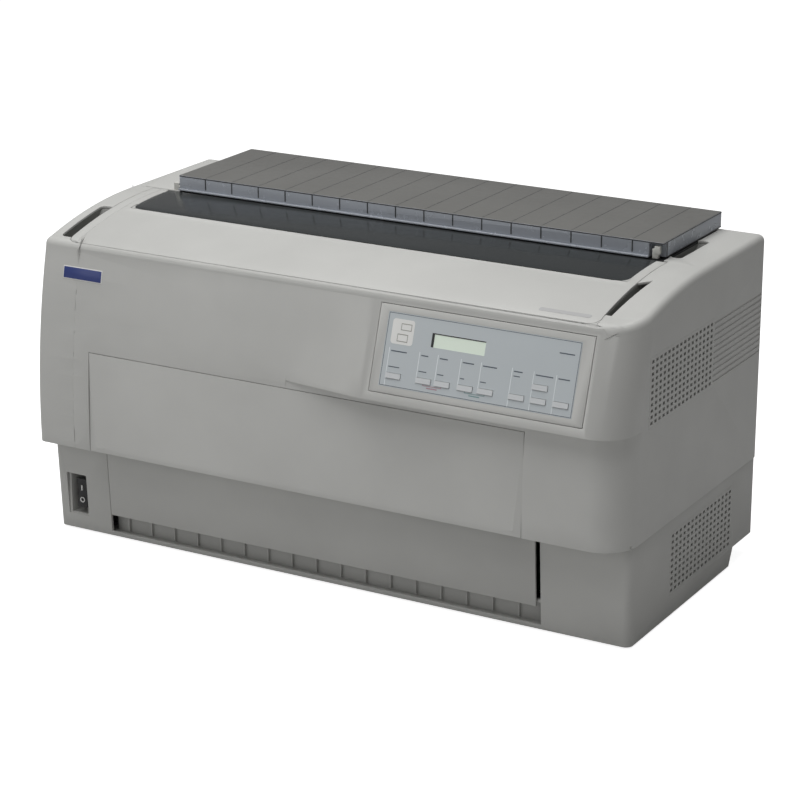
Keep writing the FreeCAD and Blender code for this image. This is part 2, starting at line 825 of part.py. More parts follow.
def front_cover():
    gap = d.fit_gap
    low = d.split_height + gap
    high = d.middle_height
    foot = -face_at(low)
    head = -face_at(high)
    skin = extrude("door_skin", "side",
                   [(foot, low), (head, high), (head + d.door_skin, high), (foot + d.door_skin, low)],
                   -d.door_left, d.door_left + d.door_right)
    ribs = []
    margin = d.wall * 3
    span = ((-d.door_left + margin), (d.door_right - margin))
    deep = d.door_rib_depth
    for side, x in (("left", span[0]), ("right", span[1] - d.door_rib)):
        ribs.append(extrude(f"door_rib_{side}", "side",
                            [(foot + d.door_skin, low + margin), (head + d.door_skin, high - margin),
                             (head + d.door_skin + deep, high - margin), (foot + d.door_skin + deep, low + margin)],
                            x, d.door_rib))
    knuckles = []
    axis = door_axis()
    for side, x in (("left", span[0]), ("right", span[1] - margin)):
        knuckles.append(rod(f"door_knuckle_{side}", "x", d.hinge_radius * 2, (x, axis[0], axis[1]), margin))
    bores = [rod("door_bore", "x", d.hinge_radius + gap / 5, (-d.door_left - d.overrun, axis[0], axis[1]),
                 d.door_left + d.door_right + d.overrun * 2)]
    piece("front_cover", cut("front_cover", join("door_solid", [skin] + ribs + knuckles), bores))


def lower_face(height):
    share = size(height) / d.split_height
    return d.lower_front + (d.lower_front_top - d.lower_front) * share


def lower_front_cover():
    gap = d.fit_gap
    low, high = d.entry_top + gap, d.split_height - gap * 4
    skin = extrude("lower_door_skin", "side",
                   [(-lower_face(low), low), (-lower_face(high), high),
                    (-lower_face(high) + d.door_skin, high), (-lower_face(low) + d.door_skin, low)],
                   -d.entry_left + gap, d.entry_left + d.lower_cover_right - gap)
    axis = lower_door_axis()
    margin = d.wall * 3
    knuckles = []
    for side, x in (("left", -d.entry_left + margin), ("right", d.lower_cover_right - margin * 2)):
        knuckles.append(rod(f"lower_knuckle_{side}", "x", d.hinge_radius * 2, (x, axis[0], axis[1]), margin))
    bores = [rod("lower_door_bore", "x", d.hinge_radius + gap / 5,
                 (-d.entry_left - d.overrun, axis[0], axis[1]), d.entry_left + d.entry_right + d.overrun * 2)]
    piece("lower_front_cover", cut("lower_front_cover", join("lower_door_solid", [skin] + knuckles), bores))


def entry_strip():
    """Ribbed floor and back of the front paper entry."""
    front = -d.lower_front + d.entry_recess
    back = front + d.wall
    run = (-d.entry_left + d.fit_gap, d.entry_right - d.fit_gap)
    wall = box("strip_wall", run, (front, back), (base_level(), d.entry_top + d.wall))
    pitch = (run[1] - run[0]) / (d.strip_ribs + 0.5)
    ribs = []
    for number in range(int(d.strip_ribs.value)):
        x = run[0] + pitch * (number + 0.5)
        ribs.append(box(f"strip_rib_{number + 1}", (x, x + d.strip_rib_width),
                        (front - d.strip_rib_height, front), (d.entry_sill, d.entry_top)))
    piece("front_entry_guide", join("front_entry_guide", [wall] + ribs))


# Lower case
def lower_form(name, inset):
    low = d.foot_height
    body = doc.addObject("PartDesign::Body", name)
    sketch = new_sketch(body, name + "_outline", "side")
    top = d.split_height if size(inset).value == 0 else d.split_height + d.overrun
    outline(sketch, [
        (-lower_face(low) + inset, low + inset),
        (d.lower_cut_start - inset, low + inset),
        (d.lower_cut_start + (d.lower_cut_height - low) / 2 - inset, d.lower_cut_height + inset),
        (d.lower_rear - inset, d.lower_cut_height + inset),
        (d.lower_rear - inset, top),
        (-lower_face(top) + inset, top),
    ])
    pad = body.newObject("PartDesign::Pad", name + "_pad")
    pad.Profile = sketch
    pad.Midplane = True
    tie(pad, "Length", d.lower_width - size(inset) * 2)
    doc.recompute()
    edges = []
    for number, edge in enumerate(pad.Shape.Edges, 1):
        start, end = edge.Vertexes[0].Point, edge.Vertexes[-1].Point
        tall = abs(start.z - end.z) > d.split_height.value / 2
        if tall and edge.CenterOfMass.y < 0:
            edges.append(f"Edge{number}")
    fillet = body.newObject("PartDesign::Fillet", name + "_corners")
    fillet.Base = (pad, edges)
    tie(fillet, "Radius", d.lower_corner - inset)
    body.Tip = fillet
    return body


def lower_case():
    shell = cut("lower_shell", lower_form("lower_block", 0), [lower_form("lower_room", d.wall)])
    reach = (-d.lower_front_top - d.overrun, -d.lower_front + d.overrun)
    bay = box("front_bay", (-d.entry_left, d.entry_right), reach, (d.entry_sill, d.split_height + d.overrun))
    grille_hole = box("lower_grille_hole", (d.lower_width / 2 - d.overrun, d.lower_width / 2 + d.overrun),
                      *grille_window("lower", d.seat_gap))
    switch_hole = box("switch_hole", (-d.switch_left, -d.switch_right), reach, (d.switch_low, d.switch_high))
    rear = (d.lower_rear - d.overrun, d.lower_rear + d.overrun)
    inlet_hole = box("inlet_hole", (d.inlet_place, d.inlet_place + d.inlet_width), rear,
                     (d.port_row, d.port_row + d.inlet_height))
    ports = port_spans()
    port_holes = [box(f"{name}_hole", x, rear, z) for name, x, z in ports]
    open_shell = cut("lower_open_shell", shell, [bay, grille_hole, switch_hole, inlet_hole] + port_holes)
    margin = d.wall * 3
    seats = hinge_seats("lower", -d.entry_left, d.entry_right, -d.entry_left + margin,
                        d.lower_cover_right - margin * 2, lower_door_axis())
    piece("lower_case", join("lower_case", [open_shell] + seats))


def port_spans():
    row = (d.port_row, d.port_row + d.port_height)
    serial_x = d.port_place + d.port_width + d.wall * 3
    return (
        ("parallel_port", (d.port_place, d.port_place + d.port_width), row),
        ("serial_port", (serial_x, serial_x + d.serial_width), row),
    )


def power_switch():
    """Recessed pocket with a sloping left cheek, and the rocker in its back."""
    x = (-d.switch_left, -d.switch_right)
    front = -d.lower_front - d.wall
    back = -d.lower_front + d.switch_recess
    block = box("switch_block", x, (-d.lower_front, back + d.wall), (d.switch_low, d.switch_high))
    thin = d.wall / 2
    room = extrude("switch_room", "plan",
                   [(x[0] + thin, front - d.overrun), (x[1] - thin, front - d.overrun), (x[1] - thin, back),
                    (x[0] + thin * 4, back)],
                   d.switch_low + thin, d.switch_high - d.switch_low - thin * 2)
    middle = ((x[0] + thin * 4) + (x[1] - thin)) / 2
    height = (d.switch_low + d.switch_high) / 2
    half, rise = d.rocker_width / 2, d.rocker_height / 2
    gap = d.seat_gap
    well = box("rocker_well", (middle - half - gap, middle + half + gap), (back - d.wall, back + d.wall * 2),
               (height - rise - gap * 3, height + rise + gap * 3))
    piece("switch_bezel", cut("switch_bezel", block, [room, well]))
    rocker = extrude("power_rocker", "side",
                     [(back - d.rocker_proud, height - rise), (back - d.rocker_proud / 2, height),
                      (back - d.rocker_proud, height + rise), (back, height + rise), (back + d.wall, height),
                      (back, height - rise)],
                     middle - half, d.rocker_width)
    piece("power_rocker", rocker)


# Sheet metal chassis and mechanism
def base_level():
    return d.foot_height + d.wall


def side_frames():
    gap = d.seat_gap
    for side, x in (("left", -d.frame_left), ("right", d.frame_right)):
        low = base_level() + d.plate
        profile = [
            (-d.frame_front, low), (d.frame_rear - d.wall * 12, low), (d.frame_rear - d.wall * 12, d.split_height),
            (d.frame_rear, d.split_height + d.wall * 4), (d.frame_rear, d.frame_top), (-d.platen_back, d.frame_top),
            (-d.frame_front - d.wall * 4, d.platen_height), (-d.frame_front - d.wall * 4, d.split_height + d.wall * 4),
            (-d.frame_front, d.split_height),
        ]
        blank = extrude(f"side_frame_{side}_blank", "side", profile, x, d.plate)
        start = x - d.overrun
        long = d.overrun * 2 + d.plate
        bores = [rod(f"{side}_platen_hole", "x", d.platen_shaft + gap / 3, (start, -d.platen_back, d.platen_height), long)]
        for name, y in (("front", -d.rod_front), ("rear", -d.rod_rear)):
            bores.append(rod(f"{side}_{name}_rod_hole", "x", d.rod_radius + gap / 6, (start, y, d.rod_height), long))
        bores.append(rod(f"{side}_tractor_hole", "x", d.tractor_shaft + gap / 3,
                         (start, -d.tractor_back, d.tractor_height), long))
        if side == "left":
            bores.append(rod("motor_boss_hole", "x", pinion_outer() + d.wall, (start, *drive_centre()), long))
        plate = cut(f"side_plate_{side}", blank, bores)
        piece(f"side_frame_{side}", join(f"side_frame_{side}", [plate] + frame_tabs(side, x)))
    base = box("base_pan_blank", (-d.frame_left, d.frame_right + d.plate), (-d.base_front, d.base_rear),
               (base_level(), base_level() + d.plate))
    piece("base_pan", base)


def frame_tabs(side, x):
    """Ear with the printer cover's hinge stud, and the shelf under the belt's pulley."""
    pin_z = d.top_height - d.cover_pin_drop
    ear = box(f"hinge_ear_{side}", (x, x + d.plate), (-d.cover_ear, d.cover_pin_back + d.cover_pin_radius / 2),
              (d.frame_top - d.wall, pin_z + d.cover_pin_radius))
    start = -d.cover_left + d.plate / 2 if side == "left" else x
    end = x + d.plate if side == "left" else d.cover_right - d.plate / 2
    stud = rod(f"hinge_stud_{side}", "x", d.cover_pin_radius, (start, d.cover_pin_back, pin_z), end - start)
    y = -(d.rod_front + d.rod_rear) / 2
    under = belt_level() - d.plate - d.seat_gap
    if side == "left":
        low = under - d.motor_length - d.plate
        shelf = box("motor_shelf", (x, -d.pulley_left + d.motor_radius), (y - d.motor_radius, y + d.motor_radius),
                    (low, low + d.plate))
    else:
        shelf = box("idler_shelf", (d.pulley_right - d.pulley_radius, x + d.plate),
                    (y - d.pulley_radius, y + d.pulley_radius), (under - d.plate, under))
    return [ear, stud, shelf]


def belt_level():
    return d.rod_height - d.carriage_height / 2 - d.belt_drop


def pinion_outer():
    return d.gear_module * (d.pinion_teeth / 2 + 1)


def drive_centre():
    """Centre of the feed motor, level with the platen and behind it, at the mesh distance."""
    distance = d.gear_module * (d.platen_teeth + d.pinion_teeth) / 2 + d.gear_module * 0.08
    return (-d.platen_back + distance, d.platen_height)


def gear(name, teeth, start, width, centre, bore, phase):
    """Straight-sided spur gear, drawn as one tooth flank after another round the circle."""
    module = d.gear_module.value
    count = int(teeth.value)
    pitch = module * count / 2
    flanks = ((-0.4, -1.2), (-0.21, 0), (-0.1, 0.8), (0.1, 0.8), (0.21, 0), (0.4, -1.2))
    points = []
    for tooth in range(count):
        for turn_share, rise_share in flanks:
            angle = 2 * math.pi * (tooth + phase + turn_share) / count
            radius = pitch + rise_share * module
            points.append(FreeCAD.Vector(0, radius * math.cos(angle), radius * math.sin(angle)))
    wire = Part.makePolygon(points + points[:1])
    solid = Part.Face(wire).extrude(FreeCAD.Vector(width.value, 0, 0))
    hole = Part.makeCylinder(bore.value, width.value * 3, FreeCAD.Vector(-width.value, 0, 0), FreeCAD.Vector(1, 0, 0))
    item = doc.addObject("Part::Feature", name)
    item.Shape = solid.cut(hole)
    place(item, (start, centre[0], centre[1]))
    return item


def platen():
    y, z = -d.platen_back, d.platen_height
    left = -d.platen_left
    length = d.platen_left + d.platen_right
    core = rod("platen_core", "x", d.platen_core, (left, y, z), length)
    shaft = rod("platen_axle", "x", d.platen_shaft, (-d.frame_left - d.wall * 4, y, z),
                d.frame_left + d.frame_right + d.wall * 8)
    piece("platen_shaft", join("platen_shaft", [core, shaft]))
    sleeve = rod("platen_sleeve", "x", d.platen_radius, (left + d.wall, y, z), length - d.wall * 2)
    hollow = rod("platen_hollow", "x", d.platen_core, (left, y, z), length)
    piece("platen_roller", cut("platen_roller", sleeve, [hollow]))
    outside = -d.frame_left - d.wall / 2 - d.gear_width
    piece("platen_gear", gear("platen_gear", d.platen_teeth, outside, d.gear_width, (y, z), d.platen_shaft, 0))
    wheel = gear("pinion_wheel", d.pinion_teeth, outside, d.gear_width, drive_centre(), d.motor_radius / 20, 0.5)
    motor_y, motor_z = drive_centre()
    can = rod("motor_can", "x", d.motor_radius, (-d.frame_left + d.plate + d.seat_gap, motor_y, motor_z), d.motor_length)
    ring = rod("motor_ring", "x", pinion_outer() + d.wall - d.seat_gap, (-d.frame_left, motor_y, motor_z),
               d.plate + d.wall)
    bore = rod("motor_bore", "x", d.motor_radius / 10 + d.seat_gap / 3,
               (-d.frame_left - d.overrun, motor_y, motor_z), d.overrun * 2)
    piece("feed_motor", cut("feed_motor", join("motor_solid", [can, ring]), [bore]))
    stem = rod("pinion_stem", "x", d.motor_radius / 10, (outside, motor_y, motor_z), d.gear_width + d.wall * 2)
    piece("feed_pinion", join("feed_pinion", [wheel, stem]))


def rails():
    reach = d.frame_left + d.frame_right + d.wall * 3
    for name, y in (("front", -d.rod_front), ("rear", -d.rod_rear)):
        piece(f"guide_rod_{name}", rod(f"guide_rod_{name}", "x", d.rod_radius,
                                       (-d.frame_left - d.wall / 2, y, d.rod_height), reach))


def carriage():
    half = d.carriage_width / 2
    y = (-d.rod_front - d.carriage_margin, -d.rod_rear + d.carriage_margin)
    z = (d.rod_height - d.carriage_height / 2, d.rod_height + d.carriage_height / 2)
    centre = (d.frame_right - d.frame_left) / 2
    block = box("carriage_block", (centre - half, centre + half), y, z)
    bores = []
    for name, at in (("front", -d.rod_front), ("rear", -d.rod_rear)):
        bores.append(rod(f"carriage_{name}_bore", "x", d.rod_radius + d.seat_gap / 6,
                         (centre - half - d.overrun, at, d.rod_height), d.carriage_width + d.overrun * 2))
    jaw_y = -(d.rod_front + d.rod_rear) / 2 - d.pulley_radius - d.seat_gap * 2 - d.belt_thickness
    jaw = box("belt_jaw", (centre - d.clamp_width / 2, centre + d.clamp_width / 2), (jaw_y - d.wall, jaw_y),
              (belt_level(), z[0]))
    piece("carriage", join("carriage", [cut("carriage_body", block, bores), jaw]))
    head_half = d.head_width / 2
    nose_front = -d.platen_back - d.platen_radius - d.nose_gap
    head_rear = nose_front - d.wall * 4
    base = box("head_base", (centre - head_half, centre + head_half), (y[0] + d.wall, head_rear), (z[1], z[1] + d.wall * 2))
    parts = [base]
    run = head_rear - (y[0] + d.wall) - d.fin_thickness
    for number in range(int(d.head_fins.value)):
        at = y[0] + d.wall + run * number / (d.head_fins - 1)
        parts.append(box(f"head_fin_{number + 1}", (centre - head_half, centre + head_half),
                         (at, at + d.fin_thickness), (z[1], z[1] + d.head_height_size)))
    core = box("head_core", (centre - head_half / 2, centre + head_half / 2), (y[0] + d.wall, head_rear),
               (z[1], z[1] + d.head_height_size - d.wall))
    nose_z = d.platen_height
    nose = extrude("head_nose", "plan",
                   [(centre - d.nose_width, head_rear), (centre + d.nose_width, head_rear),
                    (centre + d.nose_width / 2, nose_front), (centre - d.nose_width / 2, nose_front)],
                   nose_z - d.wall * 2, d.wall * 4)
    piece("print_head", join("print_head", parts + [core, nose]))


def belt_drive():
    y = -(d.rod_front + d.rod_rear) / 2
    low = belt_level()
    left, right = -d.pulley_left, d.pulley_right
    radius = d.pulley_radius
    for side, x in (("drive", left), ("idler", right)):
        wheel = rod(f"{side}_pulley_wheel", "z", radius, (x, y, low), d.belt_height)
        rims = [rod(f"{side}_pulley_rim_{number}", "z", radius + d.belt_thickness, (x, y, at), d.plate / 2)
                for number, at in enumerate((low - d.plate, low + d.belt_height + d.plate / 2))]
        neck = rod(f"{side}_pulley_neck", "z", radius / 2, (x, y, low - d.plate), d.belt_height + d.plate * 2)
        piece(f"{side}_pulley", join(f"{side}_pulley", [wheel, neck] + rims))
    gap = d.seat_gap
    outer = loop_blank("belt_outer", left, right, y, low, radius + gap + d.belt_thickness, d.belt_height)
    inner = loop_blank("belt_inner", left, right, y, low, radius + gap, d.belt_height)
    piece("timing_belt", cut("timing_belt", outer, [inner]))
    piece("carriage_motor", rod("carriage_motor", "z", d.motor_radius, (left, y, low - d.plate - gap - d.motor_length),
                                d.motor_length))


def loop_blank(name, left, right, y, low, radius, height):
    points = [
        (left, y - radius), (right, y - radius), ("by", (right + radius, y), (right, y + radius)),
        (left, y + radius), ("by", (left - radius, y), (left, y - radius)),
    ][1:]
    return extrude(name, "plan", points, low, height)


def ribbon():
    """Cartridge across the front with an arm at each end and the inked ribbon between them."""
    left, right = -d.frame_left + d.plate + d.seat_gap, d.frame_right - d.seat_gap
    front = -d.cartridge_front
    low = d.platen_height - d.cartridge_height / 2
    high = low + d.cartridge_height
    tip = -d.platen_back - d.platen_radius - d.wall / 2
    bar = box("cartridge_bar", (left, right), (front, front + d.cartridge_depth), (low, high))
    arms = [
        box("cartridge_arm_left", (left, left + d.cartridge_arm), (front, tip), (low, high)),
        box("cartridge_arm_right", (right - d.cartridge_arm, right), (front, tip), (low, high)),
    ]
    piece("ribbon_cartridge", join("ribbon_cartridge", [bar] + arms))
    middle = d.platen_height
    piece("ink_ribbon", box("ink_ribbon", (left + d.cartridge_arm, right - d.cartridge_arm),
                            (tip - d.ribbon_thickness, tip), (middle - d.ribbon_width / 2, middle + d.ribbon_width / 2)))


def tractors():
    y, z = -d.tractor_back, d.tractor_height
    shaft = rod("tractor_shaft", "x", d.tractor_shaft, (-d.frame_left - d.wall, y, z),
                d.frame_left + d.frame_right + d.wall * 3)
    wheels = []
    for side, centre in (("left", -d.tractor_place_left), ("right", d.tractor_place_right)):
        half = d.tractor_width / 2
        deep = d.tractor_thickness / 2
        block = extrude(f"tractor_{side}_block", "side",
                        [(y - deep, z - deep), (y + deep, z - deep), (y + deep, z + d.tractor_length - deep),
                         (y - deep, z + d.tractor_length - deep)],
                        centre - half, d.tractor_width)
        room = box(f"tractor_{side}_room", (centre - d.sprocket_width / 2 - d.seat_gap, centre + d.sprocket_width / 2 + d.seat_gap),
                   (y - deep - d.overrun, y + deep + d.overrun),
                   (z - deep - d.overrun, z + d.sprocket_radius + d.wall + d.seat_gap))
        bore = rod(f"tractor_{side}_bore", "x", d.tractor_shaft + d.seat_gap / 3, (centre - half - d.overrun, y, z),
                   d.tractor_width + d.overrun * 2)
        body = cut(f"tractor_{side}_body", block, [room, bore])
        outward = -1 if side == "left" else 1
        knuckle = d.tractor_lid
        axis = (centre + outward * (half - knuckle), y - deep - knuckle - d.fit_gap)
        span = (z + d.sprocket_radius + d.wall * 2, z + d.tractor_length - deep - d.wall)
        lugs = []
        for number, low in enumerate((span[0] - d.seat_gap - d.wall, span[1] + d.seat_gap)):
            lugs.append(box(f"tractor_{side}_lug_{number + 1}", (axis[0] - knuckle, axis[0] + knuckle),
                            (axis[1] - knuckle, y - deep), (low, low + d.wall)))
        pin = rod(f"tractor_{side}_lid_pin", "z", knuckle / 2, (axis[0], axis[1], span[0] - d.wall),
                  span[1] - span[0] + d.wall * 2)
        piece(f"tractor_{side}", join(f"tractor_{side}", [body, pin] + lugs))
        roll = rod(f"lid_knuckle_{side}", "z", knuckle, (axis[0], axis[1], span[0]), span[1] - span[0])
        inner = centre - outward * half
        reach = (axis[0], inner) if outward < 0 else (inner, axis[0])
        flap = box(f"lid_flap_{side}", reach, (axis[1] - knuckle, axis[1] - knuckle / 3), span)
        hole = rod(f"lid_bore_{side}", "z", knuckle / 2 + d.fit_gap / 5, (axis[0], axis[1], span[0] - d.wall),
                   span[1] - span[0] + d.wall * 2)
        piece(f"tractor_lid_{side}", cut(f"tractor_lid_{side}", join(f"lid_solid_{side}", [roll, flap]), [hole]))
        wheel = rod(f"sprocket_{side}", "x", d.sprocket_radius - d.wall, (centre - d.sprocket_width / 2, y, z), d.sprocket_width)
        wheels.append(wheel)
    piece("tractor_shaft", join("tractor_shaft", [shaft] + wheels))


# Rear paper entry, electrics and feet
def rear_entry():
    x = (-d.rear_left, d.rear_right)
    rear = d.rear_wall + d.rear_depth
    lean = d.rear_depth / 2
    block = extrude("rear_block", "side",
                    [(d.rear_wall, d.rear_low), (rear, d.rear_low + lean), (rear, d.rear_high - lean),
                     (d.rear_wall, d.rear_high)],
                    x[0], d.rear_left + d.rear_right)
    room = box("rear_mouth", (x[0] + d.wall * 2, x[1] - d.wall * 2), (d.rear_wall - d.overrun, rear + d.overrun),
               (d.rear_mouth_low, d.rear_mouth_high))
    piece("rear_paper_entry", cut("rear_paper_entry", block, [room]))


def electrics():
    low = base_level() + d.plate
    supply_x = (-d.supply_left + d.wall * 6, -d.supply_left + d.wall * 6 + d.supply_width)
    piece("power_supply", box("power_supply", supply_x, (-d.supply_front, -d.supply_front + d.supply_depth),
                              (low, low + d.supply_height)))
    board = box("board_sheet", (-d.supply_left + d.supply_width + d.wall * 12, d.frame_right - d.wall * 3),
                (-d.base_front + d.wall * 6, d.base_rear - d.wall), (d.board_height, d.board_height + d.plate))
    posts = []
    for number in range(4):
        at_x = (-d.supply_left + d.supply_width + d.wall * 16) if number % 2 else (d.frame_right - d.wall * 8)
        at_y = (-d.base_front + d.wall * 9) if number < 2 else (d.base_rear - d.wall * 5)
        posts.append(rod(f"board_post_{number + 1}", "z", d.wall, (at_x, at_y, low), d.board_height - low))
    piece("main_board", join("main_board", [board] + posts))
    fan_back = d.lower_width / 2 - d.wall - d.seat_gap
    fan_front = fan_back - d.fan_depth
    half = d.fan_size / 2
    fan_y = d.lower_vent_front + d.lower_vent_pitch * (d.lower_vent_columns - 1) / 2
    fan_z = d.lower_vent_low + d.lower_vent_rise * (d.lower_vent_rows - 1) / 2
    block = box("fan_block", (fan_front, fan_back), (fan_y - half, fan_y + half), (fan_z - half, fan_z + half))
    throat = rod("fan_throat", "x", d.fan_rotor + d.wall / 2, (fan_front - d.overrun, fan_y, fan_z), d.fan_depth + d.overrun * 2)
    spokes = [
        box("fan_spoke_level", (fan_front, fan_front + d.plate), (fan_y - half, fan_y + half), (fan_z - d.wall, fan_z + d.wall)),
        box("fan_spoke_upright", (fan_front, fan_front + d.plate), (fan_y - d.wall, fan_y + d.wall), (fan_z - half, fan_z + half)),
    ]
    piece("fan_housing", join("fan_housing", [cut("fan_ring", block, [throat])] + spokes))
    hub_start = fan_front + d.plate + d.seat_gap
    hub_length = d.fan_depth - d.plate - d.seat_gap * 2
    hub = rod("fan_hub_blank", "x", d.fan_hub, (hub_start, fan_y, fan_z), hub_length)
    blades = []
    for number in range(int(d.fan_blades.value)):
        blade = doc.addObject("Part::Box", f"fan_blade_{number + 1}")
        tie(blade, "Length", hub_length - d.wall)
        tie(blade, "Width", d.fan_rotor)
        tie(blade, "Height", d.plate / 2)
        blade.Placement = FreeCAD.Placement(FreeCAD.Vector(), FreeCAD.Rotation(FreeCAD.Vector(1, 0, 0), 360 * number / int(d.fan_blades.value)))
        place(blade, (hub_start + d.wall / 2, fan_y, fan_z))
        blades.append(blade)
    piece("fan_rotor", join("fan_rotor", [hub] + blades))


def rear_sockets():
    lip = d.bezel_lip
    deep = d.inlet_depth
    outside = d.lower_rear + lip
    gap = d.seat_gap
    spans = [("mains_inlet", (d.inlet_place, d.inlet_place + d.inlet_width), (d.port_row, d.port_row + d.inlet_height), deep)]
    for name, x, z in port_spans():
        spans.append((name, x, z, d.port_depth))
    for name, x, z, depth in spans:
        body = box(f"{name}_body", (x[0] + gap, x[1] - gap), (outside - depth, outside), (z[0] + gap, z[1] - gap))
        flange = box(f"{name}_flange", (x[0] - lip, x[1] + lip), (d.lower_rear, outside), (z[0] - lip, z[1] + lip))
        room = box(f"{name}_room", (x[0] + lip * 1.5, x[1] - lip * 1.5), (outside - depth + lip, outside + d.overrun),
                   (z[0] + lip * 1.5, z[1] - lip * 1.5))
        piece(name, cut(name, join(f"{name}_solid", [body, flange]), [room]))


def feet():
    half = d.lower_width / 2 - d.foot_side_inset
    front = -d.lower_front + d.foot_front_inset
    spots = (("front_left", -half, front), ("front_right", half, front),
             ("rear_left", -half, d.foot_rear), ("rear_right", half, d.foot_rear))
    pads = [rod(f"foot_{name}", "z", d.foot_radius, (x, y, 0), d.foot_height) for name, x, y in spots]
    group = doc.addObject("Part::Compound", "rubber_feet")
    group.Links = pads
    piece("rubber_feet", group)


def check_and_save():
    doc.recompute()
    faults = []
    for item in doc.Objects:
        if any(word in item.State for word in ("Invalid", "Error")):
            faults.append(f"{item.Name} {item.State}")
    for node, item in PIECES.items():
        shape = item.Shape
        if shape.isNull() or not shape.isValid() or shape.Volume <= 0:
            faults.append(f"{node} shape")
    if faults:
        raise RuntimeError("; ".join(faults))
    os.makedirs("parts", exist_ok=True)
    for node, item in PIECES.items():
        item.Shape.exportStep(f"parts/{node}.step")
    print(len(PIECES), "pieces")


upper_case()
control_panel()
grille("upper", d.upper_width / 2)
grille("lower", d.lower_width / 2)
printer_cover()
paper_guide()
exit_tray()
front_cover()
lower_front_cover()
entry_strip()
lower_case()
power_switch()
side_frames()
platen()
rails()
carriage()
belt_drive()
ribbon()
tractors()
rear_entry()
electrics()
rear_sockets()
feet()
check_and_save()
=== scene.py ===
import json
import math

import bmesh
import bpy
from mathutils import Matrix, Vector
from mathutils.bvhtree import BVHTree


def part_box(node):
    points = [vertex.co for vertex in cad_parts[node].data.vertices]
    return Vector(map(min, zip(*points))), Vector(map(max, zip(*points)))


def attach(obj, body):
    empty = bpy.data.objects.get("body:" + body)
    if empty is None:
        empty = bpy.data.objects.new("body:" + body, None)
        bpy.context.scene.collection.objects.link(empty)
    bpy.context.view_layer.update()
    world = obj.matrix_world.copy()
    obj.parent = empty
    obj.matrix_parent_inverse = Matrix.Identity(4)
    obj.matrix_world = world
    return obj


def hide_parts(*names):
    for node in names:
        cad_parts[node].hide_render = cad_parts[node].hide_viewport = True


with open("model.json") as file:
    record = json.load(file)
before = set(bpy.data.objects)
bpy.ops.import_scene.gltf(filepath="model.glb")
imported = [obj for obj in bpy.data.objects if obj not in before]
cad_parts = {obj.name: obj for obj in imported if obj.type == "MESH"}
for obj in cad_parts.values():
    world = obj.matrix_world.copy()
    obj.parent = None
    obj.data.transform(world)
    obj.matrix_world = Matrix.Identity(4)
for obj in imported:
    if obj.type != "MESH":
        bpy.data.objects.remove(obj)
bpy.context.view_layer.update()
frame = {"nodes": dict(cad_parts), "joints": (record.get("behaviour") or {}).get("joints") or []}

bl_info = {
    "name": "Dot matrix printer",
    "version": (1, 0, 0),
    "blender": (4, 5, 0),
    "location": "View3D > Sidebar > Printer",
    "description": "Dresses the wide printer's frame with its mouldings, films and finishes",
    "category": "Object",
}


# Sizes and colours that a user would change
class PrinterSizes(bpy.types.PropertyGroup):
    edge_round: bpy.props.FloatProperty(
        name="Edge rounding", description="Radius of the moulded outer edges", default=0.0012, unit="LENGTH")
    fine_round: bpy.props.FloatProperty(
        name="Fine rounding", description="Radius of small mouldings", default=0.0005, unit="LENGTH")
    side_round: bpy.props.FloatProperty(
        name="Side rounding", description="Radius of the case's side edges", default=0.007, unit="LENGTH")
    wall: bpy.props.FloatProperty(
        name="Wall", description="Thickness of the mouldings", default=0.003, unit="LENGTH")
    crown_radius: bpy.props.FloatProperty(
        name="Crown radius", description="Radius of the top's forward slope", default=0.545, unit="LENGTH")
    top_edge: bpy.props.FloatProperty(
        name="Top edge radius", description="Radius between top and front face", default=0.009, unit="LENGTH")
    front_corner: bpy.props.FloatProperty(
        name="Front corner radius", description="Radius of the right front corner", default=0.038,
        unit="LENGTH")
    cover_corner: bpy.props.FloatProperty(
        name="Cover corner radius", description="Radius of its front corners", default=0.010, unit="LENGTH")
    window_corner: bpy.props.FloatProperty(
        name="Window corner radius", description="Radius of its front corners", default=0.012, unit="LENGTH")
    slot_corner: bpy.props.FloatProperty(
        name="Slot corner radius", description="Radius of the finger slots' ends", default=0.005,
        unit="LENGTH")
    seam: bpy.props.FloatProperty(
        name="Seam", description="Gap between the cover and the case", default=0.0005, unit="LENGTH")
    film_proud: bpy.props.FloatProperty(
        name="Film height", description="Height of printed film marks", default=0.00012, unit="LENGTH")
    plate_width: bpy.props.FloatProperty(
        name="Name plate width", description="Width of the blank plate", default=0.0485, unit="LENGTH")
    plate_height: bpy.props.FloatProperty(
        name="Name plate height", description="Height of the blank plate", default=0.0118, unit="LENGTH")


class PrinterColours(bpy.types.PropertyGroup):
    casing: bpy.props.FloatVectorProperty(
        name="Casing", description="Warm light grey of the upper case", subtype="COLOR", size=4,
        default=(0.545, 0.545, 0.525, 1.0))
    lower: bpy.props.FloatVectorProperty(
        name="Lower case", description="Grey of the lower case", subtype="COLOR", size=4,
        default=(0.50, 0.50, 0.48, 1.0))
    film: bpy.props.FloatVectorProperty(
        name="Panel film", description="Blue grey film of the control panel", subtype="COLOR", size=4,
        default=(0.52, 0.56, 0.58, 1.0))


class PrinterView(bpy.types.PropertyGroup):
    camera_place: bpy.props.FloatVectorProperty(
        name="Camera place", description="Where the camera stands", size=3, subtype="TRANSLATION",
        default=(1.3448, -2.3658, 1.0701))
    azimuth: bpy.props.FloatProperty(
        name="Azimuth", description="Turn of the camera from the front", default=math.radians(29.626),
        subtype="ANGLE")
    elevation: bpy.props.FloatProperty(
        name="Elevation", description="Height angle of the camera", default=math.radians(18.470),
        subtype="ANGLE")
    lens: bpy.props.FloatProperty(
        name="Lens", description="Focal length in millimetres", default=119.4)
    floor_span: bpy.props.FloatProperty(
        name="Floor span", description="Width of the floor", default=14.0, unit="LENGTH")


# Small helpers for picking and shaping
def nothing_picked():
    for item in bpy.context.selected_objects:
        item.select_set(False)


